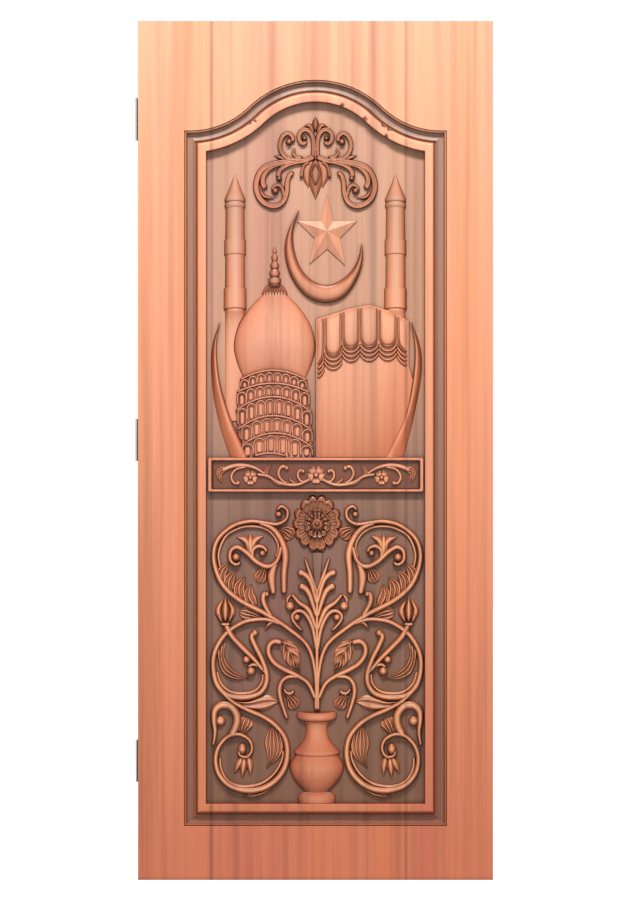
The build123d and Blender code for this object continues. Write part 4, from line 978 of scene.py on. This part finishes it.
# Onion dome with its frill and finial
DOME_AXIS_PX = 274.6
DOME_PX = [
    [(267.6, 285), (264.6, 290), (261.4, 292.8)],
    [(261.4, 292.8), (262.6, 294.6)],
    [(262.6, 294.6), (250, 307.5), (238.5, 325), (233.7, 345), (236.6, 362), (243.7, 379)],
]
DOME_SIDE = [spot(pixel) for pixel in silhouette_of(DOME_PX)]
DOME_MIDDLE = spot((DOME_AXIS_PX, 0)).x
DOME_RELIEF = 11.6 * MM
DOME_FOOT_PX = [(239.4, 380.0), (273.0, 369.6), (307.6, 380.0)]
DOME_FOOT_REACH = 80 * MM
DOME_FOOT_SHARE = 0.42
FRILL_HALF = 4
FRILL_PX = [(1.5, 284.6), (2.4, 290), (3.2, 296)]
FRILL_WIDTH_PX = 3.4
FRILL_RELIEF = 2.8 * MM
FRILL_BASE = 3.4 * MM
FRILL_FALL = 0.45 * MM
FINIAL_PX = [
    [(274.2, 246.5), (273, 249.6), (272.4, 252), (273.4, 254)],
    [(273.4, 254), (271.4, 256.6), (271.6, 259.6), (272.6, 261.4)],
    [(272.6, 261.4), (270.2, 264.6), (270.4, 267.6), (271.8, 269.4)],
    [(271.8, 269.4), (269.4, 272), (269.6, 275.4), (271, 277)],
    [(271, 277), (268.4, 279), (268.2, 282.6), (269.4, 284)],
    [(269.4, 284), (268.2, 287)],
]
FINIAL_RELIEF = 7.6 * MM
FINIAL_STEPS = 32


def ring_height(ring, across):
    """Height in pixels of a curved ring at a place across it, through its two ends and middle."""
    (left, left_up), (middle, middle_up), (right, right_up) = ring
    end, end_up = (left, left_up) if across < middle else (right, right_up)
    return middle_up + (end_up - middle_up) * ((across - middle) / (end - middle)) ** 2


def dome_half(height):
    """Half width of the dome at a height."""
    for start, end in zip(DOME_SIDE, DOME_SIDE[1:]):
        if end.y <= height <= start.y:
            down = (start.y - height) / max(start.y - end.y, TINY)
            return DOME_MIDDLE - start.lerp(end, down).x
    return 0.0


def make_dome():
    """Onion dome with a frilled collar, cut along the tower's top ring."""
    bm = bmesh.new()
    turning(bm, DOME_AXIS_PX, silhouette_of(DOME_PX), DOME_RELIEF)
    for vert in bm.verts:
        across = vert.co.x / ACROSS_SCALE + FIELD_CENTRE_PX
        foot = spot((0, ring_height(DOME_FOOT_PX, across) + 1)).y
        vert.co.z = max(vert.co.z, foot)
        above = min((vert.co.z - foot) / DOME_FOOT_REACH, 1.0)
        if vert.co.y < GROUND_Y:
            share = DOME_FOOT_SHARE + (1 - DOME_FOOT_SHARE) * sqrt(above)
            vert.co.y = GROUND_Y + (vert.co.y - GROUND_Y) * share
    bmesh.ops.remove_doubles(bm, verts=bm.verts, dist=MERGE_DISTANCE)
    for step in range(-FRILL_HALF, FRILL_HALF + 1):
        spine = [(DOME_AXIS_PX + step * reach, up) for reach, up in FRILL_PX]
        blade(bm, spine, FRILL_WIDTH_PX, FRILL_RELIEF, base=FRILL_BASE - abs(step) * FRILL_FALL)
    smooth_by_angle(add_piece(bm, "onion_dome_turning", picture_teak, "onion_dome"))
    finial = bmesh.new()
    turning(finial, DOME_AXIS_PX, silhouette_of(FINIAL_PX), FINIAL_RELIEF, FINIAL_STEPS)
    add_piece(finial, "finial_beads", carved_teak, "dome_finial")


make_dome()

# Minarets: pixels up and radius, then each one's axis and foot
MINARET_RADII_PX = [
    (174.0, 0.3), (187.0, 5.2), (195.0, 8.6), (198.8, 10.4), (200.8, 10.7), (202.4, 10.3), (203.2, 9.2),
    (204.0, 10.2), (206.2, 10.7), (208.4, 10.2), (209.2, 9.4), (240.0, 9.8), (240.8, 10.8), (255.4, 10.9),
    (256.4, 9.8), (288.4, 10.0), (289.4, 11.3), (309.8, 11.5), (310.8, 9.8),
]
MINARETS_PX = {"left": (235.0, 424.0), "right": (395.5, 328.0)}
MINARET_RELIEF = 8.6 * MM
MINARET_SAG_PX = -2.6
MINARET_ARRIS = 14
MINARET_SHAFT_PX = 312
MINARET_FADE_PX = 310.8
MINARET_FADE = 0.24
MINARET_FADE_REACH = 30 * MM


def make_minaret(name, axis, end):
    """Minaret that fades into the ground where something stands in front of it, and stops at the dome."""
    bm = bmesh.new()
    silhouette = [(axis - radius, up) for up, radius in MINARET_RADII_PX]
    foot = silhouette[-1][0]
    silhouette.extend((foot, up) for up in range(MINARET_SHAFT_PX, int(end)))
    turning(bm, axis, silhouette, MINARET_RELIEF, sag=MINARET_SAG_PX)
    fade = spot((0, MINARET_FADE_PX)).y
    for vert in bm.verts:
        if vert.co.z < fade and vert.co.y < GROUND_Y:
            left_over = MINARET_FADE + (1 - MINARET_FADE) * exp((vert.co.z - fade) / MINARET_FADE_REACH)
            vert.co.y = GROUND_Y + (vert.co.y - GROUND_Y) * left_over
        if abs(vert.co.x - DOME_MIDDLE) < dome_half(vert.co.z):
            vert.co.x = DOME_MIDDLE - dome_half(vert.co.z)
    piece = add_piece(bm, f"{name}_minaret_turning", picture_teak, f"{name}_minaret")
    smooth_by_angle(piece, MINARET_ARRIS)


for side_name, (side_axis, side_foot) in MINARETS_PX.items():
    make_minaret(side_name, side_axis, side_foot)

# Crescent and horn shaped leaves, each between two edge lines
CRESCENT_PX = [
    [(298.8, 210.3), (288, 231), (284.5, 252), (290.5, 276), (305.7, 296.4), (326, 303.3), (345.3, 296.4),
     (358.8, 275.8), (363, 258), (361.7, 243.9)],
    [(298.8, 210.3), (293.4, 231), (295, 252), (302.5, 270.6), (316, 282.5), (331.5, 284.4), (347.5, 275),
     (357, 261), (361.7, 243.9)],
]
CRESCENT_RELIEF = 11 * MM
CRESCENT_STEPS = 90
HORNS_PX = {
    "left": [[(219.6, 322.3), (212.6, 343), (210.8, 365), (213.6, 398), (220.5, 429), (229.9, 457.6)],
             [(219.6, 322.3), (217.2, 338), (216.9, 357), (220.9, 386), (231.7, 420.4), (248.9, 457.6)]],
    "right": [[(411.6, 322.3), (419.6, 343), (422.2, 362), (420.2, 386), (412.5, 424), (403.9, 457.6)],
              [(411.6, 322.3), (414.1, 340), (414.4, 360), (410.3, 394), (402, 422), (383.2, 457.6)]],
}
HORN_RELIEF = 10.6 * MM
HORN_STEPS = 60
HORN_TILT = 0.36
CRESCENT_ACROSS = 14


def make_crescent():
    """Rounded crescent."""
    bm = bmesh.new()
    rows = [smooth_line(edge, CRESCENT_STEPS) for edge in CRESCENT_PX]
    crowned_strip(bm, *rows, lambda u, s: CRESCENT_RELIEF, across=CRESCENT_ACROSS)
    add_piece(bm, "crescent_carving", carved_teak, "crescent")


def make_horns():
    """Two horn shaped leaves, thicker on their inner side."""
    for name, edges in HORNS_PX.items():
        bm = bmesh.new()
        rows = [smooth_line(edge, HORN_STEPS) for edge in edges]
        crowned_strip(bm, *rows, lambda u, s: HORN_RELIEF * (1 - HORN_TILT + HORN_TILT * s),
                      across=CRESCENT_ACROSS)
        add_piece(bm, f"{name}_horn_carving", picture_teak, f"{name}_horn_leaf")


make_crescent()
make_horns()

# Arcaded tower: rows of small arches between curved rings
TOWER_EDGES_PX = [
    [(239.4, 379), (236, 400), (235.4, 415), (236.6, 430), (240, 443), (246, 457.6)],
    [(307.6, 379), (310.4, 400), (312, 418), (313, 432), (313.6, 444), (313.8, 457.6)],
]
TOWER_RINGS_PX = [
    [(239.6, 380.4), (273, 370.6), (307.4, 381)],
    [(236.4, 392.6), (273, 383.6), (310.2, 393.2)],
    [(235.2, 411.4), (273, 397), (312.4, 413.4)],
    [(236.8, 430.4), (273, 416), (313.4, 431.8)],
    [(240.6, 446.4), (275, 433.4), (313.6, 448.4)],
    [(228, 474), (270, 453.4), (316, 477)],
]
ARCHES_IN_ROW = [8, 8, 8, 7, 6]
TOWER_BASE = 5.2 * MM
TOWER_FACE = TOWER_BASE - 0.6 * MM
TOWER_STEPS = 50
TOWER_ACROSS = 20
TOWER_BOW_PX = 10.0
TOWER_FOOT_PX = 457.0
RING_WIDTHS_PX = (2.6, 2.8, 2.6)
RING_RELIEF = 4.4 * MM
RING_STEPS = 24
ARCH_RIM_PX = 2.3
ARCH_RELIEF = 3.4 * MM
ARCH_ACROSS = 6
ARCH_HALF_SHARE = 0.47
ARCH_TOP_GAP_PX = 2.4
ARCH_FOOT_GAP_PX = 0.6
ARCH_LEAST_SHARE = 0.6
NICHE_RELIEF = 2.4 * MM
NICHE_ACROSS = 10
NICHE_SHARE = 1.1


def make_arch(bm, middle, half, top, foot):
    """Arched rim with a small raised panel inside it."""
    left = middle - half
    right = middle + half
    spring = top + half
    turns = [radians(turn) for turn in range(-80, 81, 20)]
    head = [(middle + half * sin(turn), spring - half * cos(turn)) for turn in turns]
    rim = [(left, foot), (left, spring), *head, (right, spring), (right, foot)]
    stem(bm, rim, (ARCH_RIM_PX,) * 3, ARCH_RELIEF, TOWER_FACE, ARCH_ACROSS)
    niche = [(middle, foot), (middle, (foot + top) / 2), (middle, top + NICHE_SHARE * ARCH_RIM_PX)]
    stem(bm, niche, (half * NICHE_SHARE,) * 3, NICHE_RELIEF, TOWER_FACE, NICHE_ACROSS)


def make_tower():
    """Tower body, its rings and its arches."""
    bm = bmesh.new()
    left, right = [smooth_line(edge, TOWER_STEPS) for edge in TOWER_EDGES_PX]
    crowned_strip(bm, left, right, lambda u, s: TOWER_BASE, across=TOWER_ACROSS, bow=TOWER_BOW_PX)
    for ring in TOWER_RINGS_PX:
        start = ring[0][0]
        end = ring[2][0]
        places = [start + (end - start) * step / RING_STEPS for step in range(RING_STEPS + 1)]
        line = [(place, ring_height(ring, place)) for place in places]
        line = [(place, up) for place, up in line if up < TOWER_FOOT_PX]
        stem(bm, line, RING_WIDTHS_PX, RING_RELIEF, TOWER_FACE)
    for upper, lower, count in zip(TOWER_RINGS_PX, TOWER_RINGS_PX[1:], ARCHES_IN_ROW):
        start = max(upper[0][0], lower[0][0]) + 1
        end = min(upper[2][0], lower[2][0]) - 1
        pitch = (end - start) / count
        for step in range(count):
            middle = start + pitch * (step + 0.5)
            top = ring_height(upper, middle) + ARCH_TOP_GAP_PX
            foot = min(ring_height(lower, middle) - ARCH_FOOT_GAP_PX, TOWER_FOOT_PX)
            if foot - top > pitch * ARCH_LEAST_SHARE:
                make_arch(bm, middle, pitch * ARCH_HALF_SHARE, top, foot)
    add_piece(bm, "arcaded_tower_carving", tower_teak, "arcaded_tower")


make_tower()

# Draped canopy over a plain field: tongues (start, end, low edge, hang) with rims and scalloped hems
CANOPY_PX = [
    (315.8, 318.8), (332, 314.2), (350, 308.4), (369.4, 304.5), (388, 310.4), (409, 320.5), (409, 366),
    (413, 380), (409, 404), (394, 457.6), (315.8, 457.6),
]
CANOPY_TOP_KNOTS = 6
TONGUES_PX = [
    (304.0, 324.2, 365.0, 11.0), (324.2, 342.0, 355.6, 8.6), (342.0, 359.8, 347.8, 8.6),
    (359.8, 378.6, 347.0, 8.6), (378.6, 397.0, 346.4, 8.6), (397.0, 421.4, 352.0, 12.0),
]
CANOPY_SPAN_PX = (315.8, 409.0)
CANOPY_BASE = 5.6 * MM
CANOPY_SOFT = 1.2 * MM
TONGUE_RELIEF = 2.8 * MM
TONGUE_TOP_GAP_PX = 1.4
TONGUE_FOOT_GAP_PX = 0.6
TONGUE_SIDE_SHARE = 0.02
RIM_INSET_PX = 1.5
RIM_RISE_PX = 6
RIM_TOP_GAP_PX = 1
RIM_WIDTHS_PX = (1.9, 1.9, 1.9)
RIM_RELIEF = 4.4 * MM
RIM_SWING = 90
HEM_WIDTHS_PX = (2.6, 3.0, 2.6)
HEM_RELIEF = 3.8 * MM
HEM_STEP_PX = 4.5
HEM_HANG_SHARE = 0.9
HEM_SWING = 66
HEM_COUNT = 3
HEM_HALF_STEPS = 9


def canopy_top(across):
    """Height in pixels of the canopy's upper edge."""
    for (start, start_up), (end, end_up) in zip(CANOPY_PX, CANOPY_PX[1:CANOPY_TOP_KNOTS]):
        if start <= across <= end:
            return start_up + (end_up - start_up) * (across - start) / (end - start)
    return CANOPY_PX[0][1]


def hem_line(start, end, low, hang, swing):
    """Scalloped hem of one tongue, an arc of a swing to each side, cut off at the canopy's sides."""
    half = (end - start) / 2
    line = []
    for step in range(-HEM_HALF_STEPS, HEM_HALF_STEPS + 1):
        turn = radians(swing * step / HEM_HALF_STEPS)
        across = (start + end) / 2 + half * sin(turn) / sin(radians(swing))
        if CANOPY_SPAN_PX[0] <= across <= CANOPY_SPAN_PX[1]:
            line.append((across, low - hang * (1 - cos(turn)) / (1 - cos(radians(swing)))))
    return line


def rim_side(end):
    """Upright side of a tongue's rim, from its end on the hem to the canopy's upper edge."""
    across, up = end
    return [(across, up - RIM_RISE_PX), (across, canopy_top(across) + RIM_TOP_GAP_PX)]


def tongue_face(u, s):
    """Face of a tongue, which swells between its sides."""
    inside = min(max(u, TONGUE_SIDE_SHARE), 1 - TONGUE_SIDE_SHARE)
    return TONGUE_RELIEF * sqrt(max(0.0, sin(pi * inside)))


def make_canopy():
    """Canopy of hanging tongues over a plain field."""
    bm = bmesh.new()
    plate(bm, CANOPY_PX, CANOPY_BASE, CANOPY_SOFT)
    for start, end, low, hang in TONGUES_PX:
        rim = hem_line(start + RIM_INSET_PX, end - RIM_INSET_PX, low, hang, RIM_SWING)
        outline = list(rim)
        if start > CANOPY_SPAN_PX[0]:
            outline = [*reversed(rim_side(rim[0])), *outline]
        if end < CANOPY_SPAN_PX[1]:
            outline = [*outline, *rim_side(rim[-1])]
        stem(bm, outline, RIM_WIDTHS_PX, RIM_RELIEF, CANOPY_BASE)
        for hem in range(1, HEM_COUNT + 1):
            line = hem_line(start, end, low + hem * HEM_STEP_PX, hang * HEM_HANG_SHARE, HEM_SWING)
            stem(bm, line, HEM_WIDTHS_PX, HEM_RELIEF, CANOPY_BASE)
        tops = [Vector((across, canopy_top(across) + TONGUE_TOP_GAP_PX)) for across, up in rim]
        feet = [Vector((across, up - TONGUE_FOOT_GAP_PX)) for across, up in rim]
        crowned_strip(bm, tops, feet, tongue_face, CANOPY_BASE, 10)
    smooth_by_angle(add_piece(bm, "draped_canopy_carving", picture_teak, "draped_canopy"))


make_canopy()

# Screws that hold the door plates to the hinge stile
SCREW_RADII = (5.4 * MM, 4.6 * MM)
SCREW_HEIGHT = 1.2 * MM
SCREW_SIDES = 24
SCREW_SPACING = 64 * MM
SCREW_INSET = 15 * MM
SLOT_HALF = 0.7 * MM
SLOT_DEPTH = 0.8 * MM
SLOT_TAPER = 0.05 * MM


def add_screw(bm, centre):
    """Slotted screw head on the hinge edge of the leaf."""
    at = Matrix.Translation(centre) @ Matrix.Rotation(radians(-90), 4, "Y")
    head = bmesh.ops.create_cone(bm, cap_ends=True, segments=SCREW_SIDES, radius1=SCREW_RADII[0],
                                 radius2=SCREW_RADII[1], depth=SCREW_HEIGHT, matrix=at)
    caps = {face for vert in head["verts"] for face in vert.link_faces if len(face.verts) == SCREW_SIDES}
    outer = min(caps, key=lambda face: face.calc_center_median().x)
    geometry = [*outer.verts, *outer.edges, outer]
    for side in (-1, 1):
        edge = centre + Vector((0, 0, side * SLOT_HALF))
        cut = bmesh.ops.bisect_plane(bm, geom=geometry, plane_co=edge, plane_no=(0, 0, 1))
        geometry = cut["geom"]
    slot = [item for item in geometry if isinstance(item, bmesh.types.BMFace)
            and abs(item.calc_center_median().z - centre.z) < SLOT_HALF]
    bmesh.ops.inset_region(bm, faces=slot, thickness=SLOT_TAPER, depth=-SLOT_DEPTH)


def make_screws():
    """Two screws in each door plate."""
    bm = bmesh.new()
    for place in ("top", "middle", "bottom"):
        low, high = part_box(f"{place}_hinge_door_plate")
        for side in (-1, 1):
            up = (low.z + high.z + side * SCREW_SPACING) / 2
            add_screw(bm, Vector((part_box("hinge_stile")[0].x, low.y + SCREW_INSET, up)))
    add_piece(bm, "door_plate_screws", hinge_steel, smooth=False)


make_screws()

# Floor and light: how white the floor is near the leaf and far from it, and the lamps' place, size and power
FLOOR_HALF = 20.0
NEAR_GLOW = 0.8
GLOW_FROM = 0.5
GLOW_TO = 2.2
WORLD_LIGHT = 0.22
LIT_POINT = Vector((0.0, 0.0, 1.05))
LAMPS = [
    ("key_above", (0.0, -2.0, 5.0), (2.6, 0.6), 290.0),
    ("fill_front", (0.0, -5.0, 1.2), (3.0, 3.0), 30.0),
    ("rim_behind", (0.0, 4.0, 3.0), (3.0, 2.0), 80.0),
]


def seen_directly(tree):
    """One for rays of the camera, of reflections and through glass, and else nothing."""
    path = node(tree, "ShaderNodeLightPath")
    seen = path.outputs["Is Camera Ray"]
    for kind in ("Is Glossy Ray", "Is Transmission Ray"):
        seen = node(tree, "ShaderNodeMath", {0: seen, 1: path.outputs[kind]}, operation="MAXIMUM").outputs[0]
    return seen


def make_floor():
    """Matt pale floor that turns white far from the leaf and keeps its shadow."""
    material, tree, shader = new_material("pale_floor")
    shader.inputs["Base Color"].default_value = colour("#A0A0A0")
    shader.inputs["Roughness"].default_value = 0.9
    shader.inputs["Emission Color"].default_value = colour("#FFFFFF")
    place = node(tree, "ShaderNodeTexCoord")
    away = node(tree, "ShaderNodeVectorMath", {0: place.outputs["Object"]}, operation="LENGTH")
    glow = node(tree, "ShaderNodeMapRange", {"Value": away.outputs["Value"], "From Min": GLOW_FROM,
                                             "From Max": GLOW_TO, "To Min": NEAR_GLOW, "To Max": 1.0})
    level = node(tree, "ShaderNodeMath", {0: seen_directly(tree), 1: glow.outputs[0]}, operation="MULTIPLY")
    tree.links.new(level.outputs[0], shader.inputs["Emission Strength"])
    bm = bmesh.new()
    bmesh.ops.create_grid(bm, x_segments=1, y_segments=1, size=FLOOR_HALF)
    floor = to_object(bm, "floor", material)


def make_world():
    """White surroundings that light the leaf only a little."""
    world = bpy.data.worlds.new("studio")
    bpy.context.scene.world = world
    world.use_nodes = True
    tree = world.node_tree
    level = node(tree, "ShaderNodeMapRange", {"Value": seen_directly(tree), "To Min": WORLD_LIGHT,
                                              "To Max": 1.0})
    background = tree.nodes["Background"]
    tree.links.new(level.outputs[0], background.inputs["Strength"])
    background.inputs["Color"].default_value = colour("#FFFFFF")


def make_lamps():
    """Soft light from above, in front and behind."""
    for name, place, size, power in LAMPS:
        lamp = bpy.data.lights.new(name, "AREA")
        lamp.shape = "RECTANGLE"
        lamp.size, lamp.size_y = size
        lamp.energy = power
        holder = bpy.data.objects.new(name, lamp)
        holder.location = place
        holder.rotation_euler = (LIT_POINT - Vector(place)).to_track_quat("-Z", "Y").to_euler()
        bpy.context.scene.collection.objects.link(holder)


make_floor()
make_world()
make_lamps()

# Camera: the picture is a straight front view from far away
PIXEL = 2.3655 * MM
PICTURE_HEIGHT_PX = 900
PICTURE_MIDDLE_PX = 450.0
LEAF_FOOT_PX = 880.0
LENS_MM = 200.0
SENSOR_MM = 36.0
CAMERA_REACH = PICTURE_HEIGHT_PX * PIXEL * LENS_MM / SENSOR_MM


def make_camera():
    """Camera on the picture's middle line, level with its centre."""
    data = bpy.data.cameras.new("camera")
    data.lens = LENS_MM
    data.sensor_width = SENSOR_MM
    data.clip_end = 100.0
    camera = bpy.data.objects.new("camera", data)
    camera.location = (0.0, FRONT_Y - CAMERA_REACH, (LEAF_FOOT_PX - PICTURE_MIDDLE_PX) * PIXEL)
    camera.rotation_euler = (radians(90), 0.0, 0.0)
    bpy.context.scene.collection.objects.link(camera)
    bpy.context.scene.camera = camera


make_camera()
bpy.context.scene.view_settings.view_transform = "Standard"
